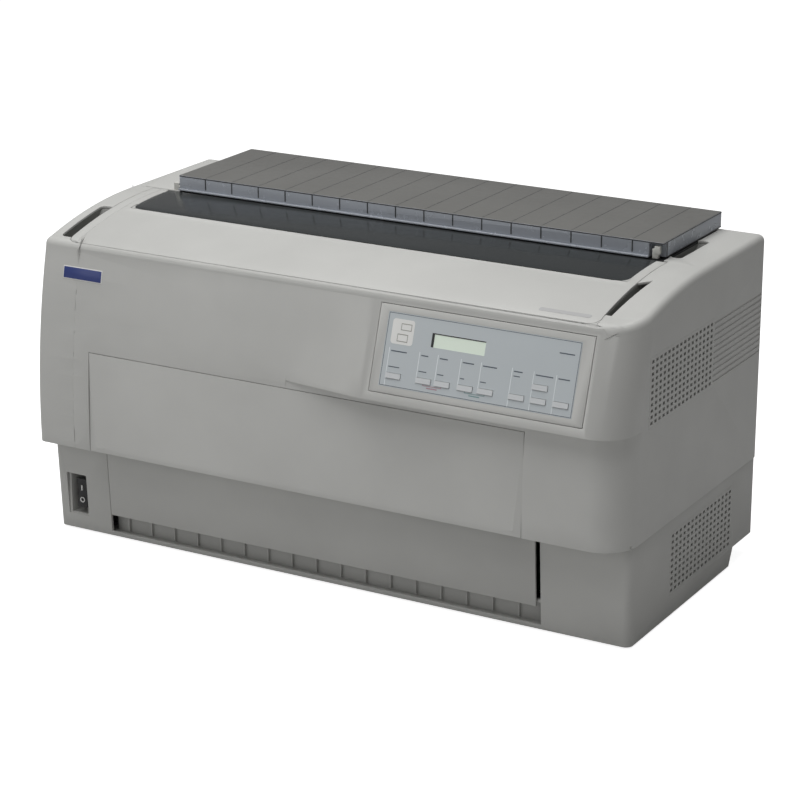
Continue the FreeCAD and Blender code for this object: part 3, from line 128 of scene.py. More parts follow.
def pick(item):
    nothing_picked()
    item.select_set(True)
    bpy.context.view_layer.objects.active = item
    return item


def settle(item):
    """Puts the object's place, turn and scale into its mesh."""
    pick(item)
    bpy.ops.object.transform_apply(location=True, rotation=True, scale=True)
    return item


def apply_all(item):
    pick(item)
    for modifier in list(item.modifiers):
        bpy.ops.object.modifier_apply(modifier=modifier.name)


def rounded(item, width, segments=3, angle=30.0, clamp=True):
    bevel = item.modifiers.new("edge rounding", "BEVEL")
    bevel.width = width
    bevel.segments = segments
    bevel.limit_method = "ANGLE"
    bevel.angle_limit = math.radians(angle)
    bevel.use_clamp_overlap = clamp
    bevel.harden_normals = False
    apply_all(item)
    smooth(item)
    return item


def smooth(item, angle=32.0):
    pick(item)
    bpy.ops.object.shade_smooth_by_angle(angle=math.radians(angle))
    return item


def block(name, low, high):
    """Box between two corners, made of one primitive with its place in the mesh."""
    nothing_picked()
    centre = [(a + b) / 2 for a, b in zip(low, high)]
    span = [abs(b - a) for a, b in zip(low, high)]
    bpy.ops.mesh.primitive_cube_add(size=1.0, location=centre)
    item = bpy.context.object
    item.name = name
    item.scale = span
    return settle(item)


def edit(item, *steps):
    """Runs edit-mode steps on all of a piece."""
    pick(item)
    bpy.ops.object.mode_set(mode="EDIT")
    bpy.ops.mesh.select_all(action="SELECT")
    for step in steps:
        step()
    bpy.ops.object.mode_set(mode="OBJECT")
    return item


def prism(name, points, low, high, along="z"):
    """Solid drawn as a flat outline across one axis and pulled along it."""
    nothing_picked()
    bpy.ops.mesh.primitive_circle_add(vertices=len(points), fill_type="NGON")
    item = bpy.context.object
    item.name = name
    for vertex, (first, second) in zip(item.data.vertices, points):
        vertex.co = (low, first, second) if along == "x" else (first, second, low)
    pull = (high - low, 0, 0) if along == "x" else (0, 0, high - low)
    return edit(item,
                lambda: bpy.ops.mesh.extrude_region_move(TRANSFORM_OT_translate={"value": pull}),
                lambda: bpy.ops.mesh.select_all(action="SELECT"),
                lambda: bpy.ops.mesh.normals_make_consistent(inside=False))


def combine(item, tool, operation):
    """Cuts, adds or keeps the common part of a second solid, which is used up."""
    pick(item)
    change = item.modifiers.new(operation.lower(), "BOOLEAN")
    change.operation = operation
    change.solver = "EXACT"
    change.object = tool
    bpy.ops.object.modifier_apply(modifier=change.name)
    bpy.data.objects.remove(tool, do_unlink=True)
    return item


def rounded_plan(low, high, radii, steps=8):
    """Rectangle in plan with radii at its front left, front right, rear right and rear left."""
    corners = ((low[0], low[1], 1, 1), (high[0], low[1], -1, 1),
               (high[0], high[1], -1, -1), (low[0], high[1], 1, -1))
    points = []
    for number, ((x, y, inward_x, inward_y), radius) in enumerate(zip(corners, radii)):
        if radius == 0:
            points.append((x, y))
            continue
        for step in range(steps + 1):
            turn = math.pi + math.pi / 2 * (number + step / steps)
            across = inward_x + math.cos(turn)
            along = inward_y + math.sin(turn)
            points.append((x + radius * across, y + radius * along))
    return points


def corner_web(x, y, radius, side, lap_share=0.06, steps=8):
    """Plan of the small web that turns a square hole corner into a round one."""
    lap = radius * lap_share
    points = [(x - side * radius, y - lap), (x + side * lap, y - lap), (x + side * lap, y + radius)]
    for step in range(steps + 1):
        turn = math.pi / 2 * step / steps
        points.append((x - side * radius * (1 - math.cos(turn)), y + radius * (1 - math.sin(turn))))
    return points


def joined(name, items):
    nothing_picked()
    for item in items:
        item.select_set(True)
    bpy.context.view_layer.objects.active = items[0]
    bpy.ops.object.join()
    result = bpy.context.object
    result.name = name
    return result


def dressed_copy(node, name, weld=0.00001, flat=0.6):
    """Copy of a node's solid with its triangles merged into clean faces."""
    mesh = frame["nodes"][node].data.copy()
    item = bpy.data.objects.new(name, mesh)
    bpy.context.scene.collection.objects.link(item)
    mesh.materials.clear()
    return edit(item,
                lambda: bpy.ops.mesh.remove_doubles(threshold=weld),
                lambda: bpy.ops.mesh.customdata_custom_splitnormals_clear(),
                lambda: bpy.ops.mesh.dissolve_limited(angle_limit=math.radians(flat)))


def give(item, *finishes):
    """Gives a piece its materials, which are listed by their keys."""
    item.data.materials.clear()
    for finish in finishes:
        item.data.materials.append(MATERIALS[finish])
    return item


def finish_piece(item, finish, body, replaces=()):
    """Gives a piece its material and its body, and hides the nodes that it stands in for."""
    give(item, finish)
    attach(item, body)
    if replaces:
        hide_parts(*replaces)
    return item


# Shape of the crowned top
CASE_LOW, CASE_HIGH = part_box("upper_case")
CASE_TOP = CASE_HIGH[2]
HALF_WIDTH = CASE_HIGH[0]
HEAD_FRONT = -0.160
REAR_WALL = 0.160

# Heights between which the whole crowned top lies
CROWN_ZONE = (0.3, 0.4)

# Left edge of the cover, and the place where its left end meets the copy of the CAD cover
COVER_LEFT = -0.321
COVER_END = -0.3095

# Places where the left front, which is made here, meets the copy of the CAD case
LEFT_PART_EDGE = -0.302
LEFT_PART_REAR = 0.008

# Overlap that lets two solids join
LAP = 0.00005

# Plans of the finger slots beside the cover and of the pocket beside the guide
LEFT_SLOT = ((-0.3347, -0.1485), (-0.3215, -0.071))
RIGHT_SLOT = ((0.3054, -0.1385), (0.318, -0.0535))
POCKET = ((0.2995, 0.026), (0.3115, 0.100))


def case_surface():
    """Search tree of the upper case's faces, for feeling where its front lies."""
    mesh = frame["nodes"]["upper_case"].data
    spots = [vertex.co for vertex in mesh.vertices]
    return BVHTree.FromPolygons(spots, [face.vertices for face in mesh.polygons])


def face_at(case, x, z):
    """Depth at which the case's front face lies, felt from well in front of it."""
    start = Vector((x, -1.0, z))
    return case.ray_cast(start, Vector((0, 1, 0)))[0].y


def crown(y, drop=0.0):
    """Height of the crowned top at a place along the depth, or of its underside."""
    radius = bpy.context.scene.printer_sizes.crown_radius
    if y >= 0:
        return CASE_TOP - drop
    return CASE_TOP - radius + math.sqrt((radius - drop) ** 2 - y * y)


def crown_band(front, rear, drop, thick, steps=36):
    """Side outline of the crowned skin between two depths."""
    places = [front + (rear - front) * step / steps for step in range(steps + 1)]
    top = [(y, crown(y, drop)) for y in places]
    under = [(y, crown(y, drop + thick)) for y in reversed(places)]
    return top + under


def crown_piece(name, plan, drop, thick):
    """Piece of the crowned skin with a given plan."""
    xs = [x for x, y in plan]
    ys = [y for x, y in plan]
    spare = thick
    outline = crown_band(min(ys) - spare, max(ys) + spare, drop, thick)
    band = prism(name, outline, min(xs) - spare, max(xs) + spare, "x")
    return combine(band, prism(name + " plan", plan, *CROWN_ZONE), "INTERSECT")


def front_profile(inset, probe_x=-0.3, face_steps=24, edge_steps=8):
    """Side outline of the case's front: up the leaning face and round the top edge."""
    case = case_surface()
    edge = bpy.context.scene.printer_sizes.top_edge
    turn_y = HEAD_FRONT + edge
    turn_z = crown(turn_y) - edge
    low = CASE_LOW[2] + inset
    points = []
    for step in range(face_steps + 1):
        z = low + (turn_z - low) * step / face_steps
        points.append((face_at(case, probe_x, z) + inset, z))
    for step in range(1, edge_steps + 1):
        turn = math.pi / 2 * step / edge_steps
        reach = edge - inset
        points.append((turn_y - reach * math.cos(turn), turn_z + reach * math.sin(turn)))
    return points


def left_outline(inset, rear, steps=30):
    """Side outline of the left front from its foot to the crown's rear end."""
    path = front_profile(inset)
    start = path[-1][0]
    for step in range(1, steps + 1):
        y = start + (rear - start) * step / steps
        path.append((y, crown(y, inset)))
    return path


def left_front(sizes):
    """Left front of the upper case: crisp upright edge, crowned skin and the left finger slot."""
    wall = sizes.wall
    seam = sizes.seam
    slot_cut = 0.036
    cover_cut = 0.05
    right = LEFT_PART_EDGE + LAP
    rear = LEFT_PART_REAR + LAP
    outline = left_outline(0, rear)
    outline.append((rear, outline[0][1]))
    shell = prism("left_front", outline, -HALF_WIDTH, right, "x")
    rear = LEFT_PART_REAR + wall
    below = CASE_LOW[2] - wall
    shelf = CASE_LOW[1] + sizes.front_corner
    outline = left_outline(wall, rear)
    outline += [(rear, below), (shelf, below), (shelf, outline[0][1])]
    combine(shell, prism("left room", outline, wall - HALF_WIDTH, right + wall, "x"), "DIFFERENCE")
    low, high = LEFT_SLOT
    ends = sizes.slot_corner
    slot = rounded_plan(low, (high[0] + wall, high[1]), (ends, 0, 0, ends))
    combine(shell, prism("left slot", slot, CASE_TOP - slot_cut, CASE_TOP + wall), "DIFFERENCE")
    cover_low, cover_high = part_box("printer_cover")
    hole = rounded_plan((COVER_LEFT - seam, cover_low[1] - seam), (right + wall, cover_high[1] + seam),
                        (sizes.cover_corner + seam, 0, 0, 0))
    return combine(shell, prism("left cover hole", hole, CASE_TOP - cover_cut, CASE_TOP + wall), "DIFFERENCE")


def cover_left(sizes, low, high):
    """Left end of the cover: crowned skin with its turned down side and front."""
    wall = sizes.wall
    skirt = 0.010
    room_depth = 0.018
    right = COVER_END + LAP
    corner = sizes.cover_corner
    plan = rounded_plan((COVER_LEFT, low[1]), (right, high[1]), (corner, 0, 0, 0))
    end = crown_piece("cover left end", plan, 0, skirt)
    plan = rounded_plan((COVER_LEFT + wall, low[1] + wall), (right + wall, high[1] + wall),
                        (corner - wall, 0, 0, 0))
    return combine(end, crown_piece("cover left room", plan, wall, room_depth), "DIFFERENCE")


# Materials, all on object coordinates
def new_material(name):
    material = bpy.data.materials.new(name)
    material.use_nodes = True
    tree = material.node_tree
    shader = tree.nodes["Principled BSDF"]
    place = tree.nodes.new("ShaderNodeTexCoord")
    return material, tree, shader, place.outputs["Object"]


def noise(tree, place, scale, detail=4.0, roughness=0.55):
    node = tree.nodes.new("ShaderNodeTexNoise")
    node.inputs["Scale"].default_value = scale
    node.inputs["Detail"].default_value = detail
    node.inputs["Roughness"].default_value = roughness
    tree.links.new(place, node.inputs["Vector"])
    return node.outputs["Fac"]


def tint(tree, shader, factor, colour, dark, light):
    """Base colour that wanders between a darker and a lighter share of one colour."""
    ramp = tree.nodes.new("ShaderNodeValToRGB")
    for element, place, share in zip(ramp.color_ramp.elements, (0.3, 0.7), (dark, light)):
        element.position = place
        element.color = (colour[0] * share, colour[1] * share, colour[2] * share, 1.0)
    tree.links.new(factor, ramp.inputs["Fac"])
    tree.links.new(ramp.outputs["Color"], shader.inputs["Base Color"])


def vary_gloss(tree, shader, factor, low, high):
    """Roughness that wanders between two values."""
    span = tree.nodes.new("ShaderNodeMapRange")
    span.inputs["To Min"].default_value = low
    span.inputs["To Max"].default_value = high
    tree.links.new(factor, span.inputs["Value"])
    tree.links.new(span.outputs["Result"], shader.inputs["Roughness"])


def moulded_plastic(name, colour, roughness=0.5, grain=1400.0, depth=0.03, spread=0.04):
    """Moulded plastic: slight cloudiness of tone and a fine spark-eroded grain."""
    material, tree, shader, place = new_material(name)
    tint(tree, shader, noise(tree, place, 9.0, 3.0), colour, 1.0 - spread, 1.0 + spread)
    fine = noise(tree, place, grain, 2.0)
    bump = tree.nodes.new("ShaderNodeBump")
    bump.inputs["Strength"].default_value = depth
    bump.inputs["Distance"].default_value = 0.0003
    tree.links.new(fine, bump.inputs["Height"])
    tree.links.new(bump.outputs["Normal"], shader.inputs["Normal"])
    vary_gloss(tree, shader, noise(tree, place, 60.0, 3.0), roughness - 0.05, roughness + 0.05)
    return material


def smoked_plastic(name, colour, clear, roughness=0.08):
    """Tinted clear moulding with faint haze and wipe marks in its gloss."""
    material, tree, shader, place = new_material(name)
    tint(tree, shader, noise(tree, place, 14.0, 3.0), colour, 0.96, 1.04)
    shader.inputs["Transmission Weight"].default_value = clear
    shader.inputs["IOR"].default_value = 1.3
    vary_gloss(tree, shader, noise(tree, place, 90.0, 4.0), roughness * 0.7, roughness * 1.6)
    return material


def metal(name, colour, roughness=0.3, brush=(40.0, 900.0, 900.0)):
    """Drawn or ground metal with its marks along one direction."""
    material, tree, shader, place = new_material(name)
    mapping = tree.nodes.new("ShaderNodeMapping")
    mapping.inputs["Scale"].default_value = brush
    tree.links.new(place, mapping.inputs["Vector"])
    marks = noise(tree, mapping.outputs["Vector"], 1.0, 3.0)
    tint(tree, shader, marks, colour, 0.86, 1.08)
    shader.inputs["Metallic"].default_value = 1.0
    vary_gloss(tree, shader, marks, roughness - 0.08, roughness + 0.1)
    return material


MATERIALS = {}

# Name, colour, roughness, scale of the grain, its depth and the spread of tone
PLASTICS = {
    # The guide's dark lines are painted shade where its ribs and edges show through the smoked plastic.
    "guide_shade_line": ("guide rib edges", (0.045, 0.047, 0.050), 0.4, 1200.0, 0.02, 0.05),
    # The slot plastic is the casing grey darkened as painted shade in the deep slots and the pocket.
    "slot": ("slot plastic", (0.20, 0.20, 0.19), 0.5, 1400.0, 0.03, 0.1),
    # The vent sheet is near black as painted shade seen through the vents.
    "screen": ("vent screen", (0.012, 0.012, 0.012), 0.8, 900.0, 0.05, 0.1),
    "strip": ("cover strip", (0.46, 0.46, 0.46), 0.35, 2200.0, 0.01, 0.03),
    "plate": ("name plate", (0.035, 0.055, 0.21), 0.3, 2400.0, 0.01, 0.04),
    "soft_mark": ("soft printed mark", (0.30, 0.29, 0.26), 0.5, 2000.0, 0.01, 0.03),
    "pink_mark": ("pink printed mark", (0.42, 0.26, 0.30), 0.5, 2000.0, 0.01, 0.03),
    "green_mark": ("green printed mark", (0.20, 0.32, 0.32), 0.5, 2000.0, 0.01, 0.03),
    "display": ("display glass", (0.80, 0.90, 0.78), 0.2, 900.0, 0.005, 0.02),
    "button": ("button plastic", (0.64, 0.66, 0.67), 0.4, 1800.0, 0.02, 0.02),
    "black": ("black plastic", (0.022, 0.022, 0.023), 0.42, 1200.0, 0.04, 0.1),
    "dark": ("dark inner plastic", (0.035, 0.036, 0.037), 0.6, 900.0, 0.05, 0.12),
    "white": ("natural acetal", (0.66, 0.66, 0.62), 0.35, 1500.0, 0.02, 0.02),
    "rubber": ("black rubber", (0.018, 0.018, 0.018), 0.72, 700.0, 0.08, 0.15),
    "board": ("circuit board", (0.02, 0.11, 0.045), 0.35, 300.0, 0.05, 0.2),
    "ribbon": ("inked ribbon", (0.012, 0.012, 0.016), 0.8, 3000.0, 0.3, 0.2),
    "mark": ("printed mark", (0.10, 0.12, 0.15), 0.5, 2000.0, 0.01, 0.03),
    "light_line": ("light printed line", (0.74, 0.78, 0.80), 0.45, 2000.0, 0.01, 0.02),
    "pale_mark": ("pale printed mark", (0.80, 0.80, 0.78), 0.45, 2000.0, 0.01, 0.02),
}

# Name, colour, share of light let through, roughness
SMOKED = {
    "window": ("smoked window", (0.055, 0.060, 0.062), 0.25, 0.16),
    # The guide's top and its upright faces take shaded and lit copies of one smoked plastic: the darker top
    # is painted shade, the lighter sides painted light.
    "guide": ("smoked paper guide", (0.195, 0.193, 0.184), 0.12, 0.3),
    "guide_side": ("clearer guide sides", (0.50, 0.53, 0.58), 0.2, 0.22),
}

# Name, colour, roughness, scale of the marks along each axis
METALS = {
    "sheet": ("plated sheet steel", (0.55, 0.55, 0.56), 0.34, (900.0, 900.0, 30.0)),
    "ground": ("ground steel rod", (0.66, 0.66, 0.67), 0.18, (30.0, 900.0, 900.0)),
    "alloy": ("cast alloy", (0.42, 0.42, 0.43), 0.45, (400.0, 400.0, 400.0)),
    "motor": ("motor can steel", (0.24, 0.24, 0.25), 0.35, (30.0, 900.0, 900.0)),
}


def make_materials(colours):
    for make, table in ((moulded_plastic, PLASTICS), (smoked_plastic, SMOKED), (metal, METALS)):
        MATERIALS.update({key: make(*values) for key, values in table.items()})
    MATERIALS["casing"] = moulded_plastic("casing plastic", tuple(colours.casing), 0.48)
    MATERIALS["lower"] = moulded_plastic("lower case plastic", tuple(colours.lower), 0.5)
    MATERIALS["film"] = moulded_plastic("panel film", tuple(colours.film), 0.42, 2600.0, 0.02, 0.015)


# Stage
class PRINTER_OT_stage(bpy.types.Operator):
    """Sets the pale floor, the soft lamps, the world and the camera"""
    bl_idname = "printer.stage"
    bl_label = "Stage"

    def execute(self, context):
        view = context.scene.printer_view
        nothing_picked()
        bpy.ops.mesh.primitive_plane_add(size=view.floor_span, location=(0, 0, 0))
        floor = context.object
        floor.name = "floor"
        floor.data.materials.append(pale_ground())
        aim = (0, 0, 0.2)
        lamps = (
            ("top lamp", (-0.3, -0.35, 2.5), 2.3, 53.0),
            ("front lamp", (-1.6, -2.9, 1.2), 1.8, 10.0),
        )
        for name, place, span, power in lamps:
            bpy.ops.object.light_add(type="AREA", location=place)
            lamp = context.object
            lamp.name = name
            lamp.data.size = span
            lamp.data.energy = power
            lamp.rotation_euler = (Vector(aim) - Vector(place)).to_track_quat("-Z", "Y").to_euler()
        make_world(context.scene)
        bpy.ops.object.camera_add(location=view.camera_place)
        camera = context.object
        camera.name = "photo camera"
        camera.data.lens = view.lens
        camera.data.sensor_width = 36.0
        turn, rise = view.azimuth, view.elevation
        look = Vector((-math.sin(turn) * math.cos(rise), math.cos(turn) * math.cos(rise), -math.sin(rise)))
        camera.rotation_euler = look.to_track_quat("-Z", "Y").to_euler()
        context.scene.camera = camera
        context.scene.view_settings.view_transform = "Standard"
        return {"FINISHED"}


def pale_ground():
    """Pale floor that shows white to the eye and keeps the object's shadow."""
    material = bpy.data.materials.new("pale floor")
    material.use_nodes = True
    tree = material.node_tree
    shader = tree.nodes["Principled BSDF"]
    shader.inputs["Base Color"].default_value = (0.60, 0.60, 0.60, 1.0)
    shader.inputs["Roughness"].default_value = 0.9
    glow = tree.nodes.new("ShaderNodeEmission")
    glow.inputs["Color"].default_value = (1.0, 1.0, 1.0, 1.0)
    glow.inputs["Strength"].default_value = 0.88
    both = tree.nodes.new("ShaderNodeAddShader")
    path = tree.nodes.new("ShaderNodeLightPath")
    choose = tree.nodes.new("ShaderNodeMixShader")
    output = tree.nodes["Material Output"]
    tree.links.new(shader.outputs["BSDF"], both.inputs[0])
    tree.links.new(glow.outputs["Emission"], both.inputs[1])
    tree.links.new(path.outputs["Is Camera Ray"], choose.inputs["Fac"])
    tree.links.new(shader.outputs["BSDF"], choose.inputs[1])
    tree.links.new(both.outputs["Shader"], choose.inputs[2])
    tree.links.new(choose.outputs["Shader"], output.inputs["Surface"])
    return material


def make_world(scene):
    """World that lights softly and shows pure white to the eye."""
    world = bpy.data.worlds.new("studio")
    scene.world = world
    world.use_nodes = True
    tree = world.node_tree
    tree.nodes.clear()
    path = tree.nodes.new("ShaderNodeLightPath")
    choose = tree.nodes.new("ShaderNodeMixShader")
    output = tree.nodes.new("ShaderNodeOutputWorld")
    lighting, seen = 0.20, 1.0
    for place, strength in ((1, lighting), (2, seen)):
        sky = tree.nodes.new("ShaderNodeBackground")
        sky.inputs["Color"].default_value = (1.0, 1.0, 1.0, 1.0)
        sky.inputs["Strength"].default_value = strength
        tree.links.new(sky.outputs["Background"], choose.inputs[place])
    tree.links.new(path.outputs["Is Camera Ray"], choose.inputs["Fac"])
    tree.links.new(choose.outputs["Shader"], output.inputs["Surface"])


# Casing
class PRINTER_OT_casing(bpy.types.Operator):
    """Rounds the edges of the upper case, the lower case and the covers"""
    bl_idname = "printer.casing"
    bl_label = "Casing"

    def execute(self, context):
        sizes = context.scene.printer_sizes
        case = upper_shell(sizes)
        rounded(case, sizes.edge_round / 2, 2, 40.0, False)
        finish_piece(case, "casing", "case", ("upper_case",))
        shells = (
            ("lower_case", "case", "lower", sizes.edge_round, "casing_lower"),
            ("front_cover", "front_cover", "casing", sizes.edge_round, "casing"),
            ("lower_front_cover", "lower_front_cover", "lower", sizes.edge_round, "casing_lower"),
            ("control_panel_housing", "case", "casing", sizes.fine_round, "casing"),
            ("front_entry_guide", "case", "lower", sizes.fine_round, "casing_lower"),
            ("side_grille_upper", "case", "casing", 0, "casing"),
            ("side_grille_lower", "case", "lower", 0, "casing_lower"),
        )
        for node, body, finish, width, slot in shells:
            item = dressed_copy(node, f"{node}_shell")
            if width:
                rounded(item, width, 2)
            else:
                close_seam(item, node, sizes.seam)
            finish_piece(item, finish, body, (node,))
        return {"FINISHED"}


def upper_shell(sizes):
    """Upper case with its new left front, its grooves, its pocket and its soft side edges."""
    pocket_corner = 0.004
    pocket_reach = 0.01
    case = dressed_copy("upper_case", "upper_case_shell")
    spare = sizes.wall
    old = block("left part", (-HALF_WIDTH - spare, CASE_LOW[1] - spare, CASE_LOW[2] - spare),
                (LEFT_PART_EDGE, LEFT_PART_REAR, CASE_TOP + spare))
    combine(case, old, "DIFFERENCE")
    combine(case, left_front(sizes), "UNION")
    cover_low, cover_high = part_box("printer_cover")
    corner = sizes.cover_corner + sizes.seam
    web = corner_web(cover_high[0] + sizes.seam, cover_low[1] - sizes.seam, corner, 1)
    combine(case, crown_piece("cover corner web", web, 0, sizes.wall), "UNION")
    combine(case, side_grooves(), "DIFFERENCE")
    pocket = rounded_plan(*POCKET, (pocket_corner,) * 4)
    combine(case, prism("pocket", pocket, CASE_TOP - pocket_reach, CASE_TOP + pocket_reach), "DIFFERENCE")
    soften_outline(case, sizes)
    return case


def side_grooves():
    """Level grooves that carry the rows of vents on to the rear edge."""
    low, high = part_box("side_grille_upper")
    rows = 11
    margin = 0.005
    half = 0.0012
    depth = 0.0011
    front = high[1] + 0.002
    rear = REAR_WALL - 0.008
    pitch = (high[2] - low[2] - 2 * margin) / (rows - 1)
    bars = []
    for row in range(rows):
        z = low[2] + margin + pitch * row
        bars.append(block(f"groove_{row + 1}", (HALF_WIDTH - depth, front, z - half),
                          (HALF_WIDTH + depth, rear, z + half)))
    return joined("side grooves", bars)


def soften_outline(case, sizes):
    """Rounds the upper case's long edges: the left upright, both sides of the top and its rear."""
    near = 0.0006
    corner = sizes.front_corner
    rear_corner = 0.008
    top_zone = CASE_TOP - 0.036
    sharp_angle = math.radians(35)

    def on_outline(spot):
        if spot.x < near - HALF_WIDTH and spot.y < HEAD_FRONT + sizes.top_edge:
            return True
        if spot.z < top_zone:
            return False
        if abs(spot.x) > HALF_WIDTH - near or spot.y > REAR_WALL - near:
            return True
        ahead = (spot.x - HALF_WIDTH + corner, HEAD_FRONT + corner - spot.y)
        behind = (abs(spot.x) - HALF_WIDTH + rear_corner, spot.y - REAR_WALL + rear_corner)
        return (min(ahead) > 0 and math.hypot(*ahead) > corner - near) or (
            min(behind) > 0 and math.hypot(*behind) > rear_corner - near)

    shape = bmesh.new()
    shape.from_mesh(case.data)
    for face in shape.faces:
        face.select = False
    for line in shape.edges:
        faces = line.link_faces
        sharp = len(faces) == 2 and line.calc_face_angle(0) > sharp_angle
        outside = sharp and all(face.normal.z > -0.5 for face in faces) and line.is_convex
        line.select = outside and all(on_outline(vertex.co) for vertex in line.verts)
    shape.select_mode = {"EDGE"}
    shape.select_flush_mode()
    shape.to_mesh(case.data)
    shape.free()
    pick(case)
    bpy.ops.object.mode_set(mode="EDIT")
    bpy.ops.mesh.select_mode(type="EDGE")
    bpy.ops.mesh.bevel(offset=sizes.side_round, segments=6, affect="EDGES", clamp_overlap=False)
    bpy.ops.mesh.select_mode(type="VERT")
    bpy.ops.object.mode_set(mode="OBJECT")


def close_seam(item, node, seam):
    """Lets the grille insert meet the wall round it without a visible line."""
    low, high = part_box(node)
    for vertex in item.data.vertices:
        for axis in (1, 2):
            if vertex.co[axis] - low[axis] < seam:
                vertex.co[axis] -= seam
            elif high[axis] - vertex.co[axis] < seam:
                vertex.co[axis] += seam
    smooth(item)


# Printer cover with its window
class PRINTER_OT_cover(bpy.types.Operator):
    """Rounds the printer cover's corners and sets the smoked window in it"""
    bl_idname = "printer.cover"
    bl_label = "Cover"

    def execute(self, context):
        sizes = context.scene.printer_sizes
        low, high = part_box("printer_cover")
        pane_low, pane_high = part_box("cover_window")
        ledge = 0.002
        left, right, front = pane_low[0] + ledge, pane_high[0] - ledge, pane_low[1] + ledge
        rear = high[1] + ledge
        corner = sizes.window_corner
        cover = dressed_copy("printer_cover", "printer_cover_shell")
        for x, side in ((left, -1), (right, 1)):
            web = crown_piece("window web", corner_web(x, front, corner, side), 0, sizes.wall)
            combine(cover, web, "UNION")
        foot, head = CROWN_ZONE
        behind = block("behind window", (left, front + corner, foot), (right, rear, head))
        combine(cover, behind, "DIFFERENCE")
        plan = rounded_plan((COVER_END, low[1]), (high[0], rear), (0, sizes.cover_corner, 0, 0))
        combine(cover, prism("cover plan", plan, *CROWN_ZONE), "INTERSECT")
        parts = [cover, cover_left(sizes, low, high), self.ear(sizes, low, high)]
        cover = joined("printer_cover_shell", parts)
        rounded(cover, sizes.fine_round, 2, 40.0, False)
        finish_piece(cover, "casing", "printer_cover", ("printer_cover",))
        seam = sizes.seam / 2
        skin_drop = 0.0003
        plan = rounded_plan((left + seam, front + seam), (right - seam, rear), (corner, corner, 0, 0))
        pane = crown_piece("window_pane", plan, skin_drop, sizes.wall - skin_drop)
        plan = rounded_plan((left - ledge, front - ledge), (right + ledge, high[1]), (corner, corner, 0, 0))
        seat = crown_piece("window_seat", plan, sizes.wall + 0.0001, ledge)
        window = joined("smoked_window", [pane, seat])
        rounded(window, sizes.fine_round / 2, 2, 40.0, False)
        finish_piece(window, "window", "printer_cover", ("cover_window",))
        self.strip()
        return {"FINISHED"}

    def ear(self, sizes, low, high):
        """Hinge ear under the cover's left rear corner."""
        length = 0.014
        clear, share = 0.003, 0.45
        foot = low[2] + clear + (high[2] - low[2]) * share
        return block("left ear", (COVER_LEFT, high[1] - length, foot),
                     (COVER_LEFT + sizes.wall, high[1], CASE_TOP - sizes.wall / 2))

    def strip(self):
        """Blank strip in the place of the cover's decal."""
        proud, thick, corner = 0.00015, 0.0006, 0.002
        plan = rounded_plan((0.238, -0.1475), (0.294, -0.1420), (corner,) * 4)
        strip = crown_piece("cover_strip", plan, -proud, thick)
        finish_piece(strip, "strip", "printer_cover")


# Smoked paper guide
GUIDE_LOW, GUIDE_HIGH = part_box("paper_guide")
GUIDE_LEFT, GUIDE_FRONT, GUIDE_FOOT = GUIDE_LOW
GUIDE_RIGHT, GUIDE_REAR, GUIDE_TOP = GUIDE_HIGH
GUIDE_SKIN = 0.002

# Notch at the guide's front right corner: its left side and its rear
NOTCH_LEFT = GUIDE_RIGHT - 0.016
NOTCH_REAR = GUIDE_FRONT + 0.009


class PRINTER_OT_guide(bpy.types.Operator):
    """Makes the smoked paper guide with its ribs, its lip and its notch"""
    bl_idname = "printer.guide"
    bl_label = "Paper guide"

    def execute(self, context):
        guide = joined("smoked_paper_guide", [guide_hood()] + guide_walls() + guide_ribs() + guide_edges())
        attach(guide, "paper_guide")
        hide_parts("paper_guide")
        finish_piece(guide_pivot(), "white", "case", ("guide_pivot_right",))
        return {"FINISHED"}


def guide_hood():
    """Thin top and sides of the guide, open below and behind; its upright faces are clearer and painted
    lighter and its top darker, as painted light and painted shade on one plastic.
    """
    skin = GUIDE_SKIN
    hood = block("guide_hood", GUIDE_LOW, GUIDE_HIGH)
    room = block("room", (GUIDE_LEFT + skin, GUIDE_FRONT + skin, GUIDE_FOOT - skin),
                 (GUIDE_RIGHT - skin, GUIDE_REAR + skin, GUIDE_TOP - skin))
    combine(hood, room, "DIFFERENCE")
    notch = block("notch", (NOTCH_LEFT, GUIDE_FRONT - skin, GUIDE_FOOT - skin),
                  (GUIDE_RIGHT + skin, NOTCH_REAR, GUIDE_TOP - skin))
    combine(hood, notch, "DIFFERENCE")
    rounded(hood, 0.0006, 3, 40.0, False)
    give(hood, "guide", "guide_side")
    # Flat faces get the darker copy, painted shade; upright faces get the lighter copy, painted light.
    for face in hood.data.polygons:
        face.material_index = 0 if abs(face.normal.z) > 0.5 else 1
    return hood


def guide_walls():
    """Two walls round the notch and the lip along the guide's front foot."""
    skin = GUIDE_SKIN
    proud, low, high = 0.0028, 0.0002, 0.0020
    side = block("notch_wall", (NOTCH_LEFT - skin, GUIDE_FRONT + skin, GUIDE_FOOT),
                 (NOTCH_LEFT, NOTCH_REAR + skin, GUIDE_TOP - skin))
    back = block("notch_back", (NOTCH_LEFT, NOTCH_REAR, GUIDE_FOOT),
                 (GUIDE_RIGHT - skin, NOTCH_REAR + skin, GUIDE_TOP - skin))
    lip = block("guide_lip", (GUIDE_LEFT, GUIDE_FRONT - proud, GUIDE_FOOT + low),
                (NOTCH_LEFT, GUIDE_FRONT + skin, GUIDE_FOOT + high))
    rounded(lip, 0.0004, 2)
    # The walls and the lip take the lighter copy, painted light.
    return [give(part, "guide_side") for part in (side, back, lip)]


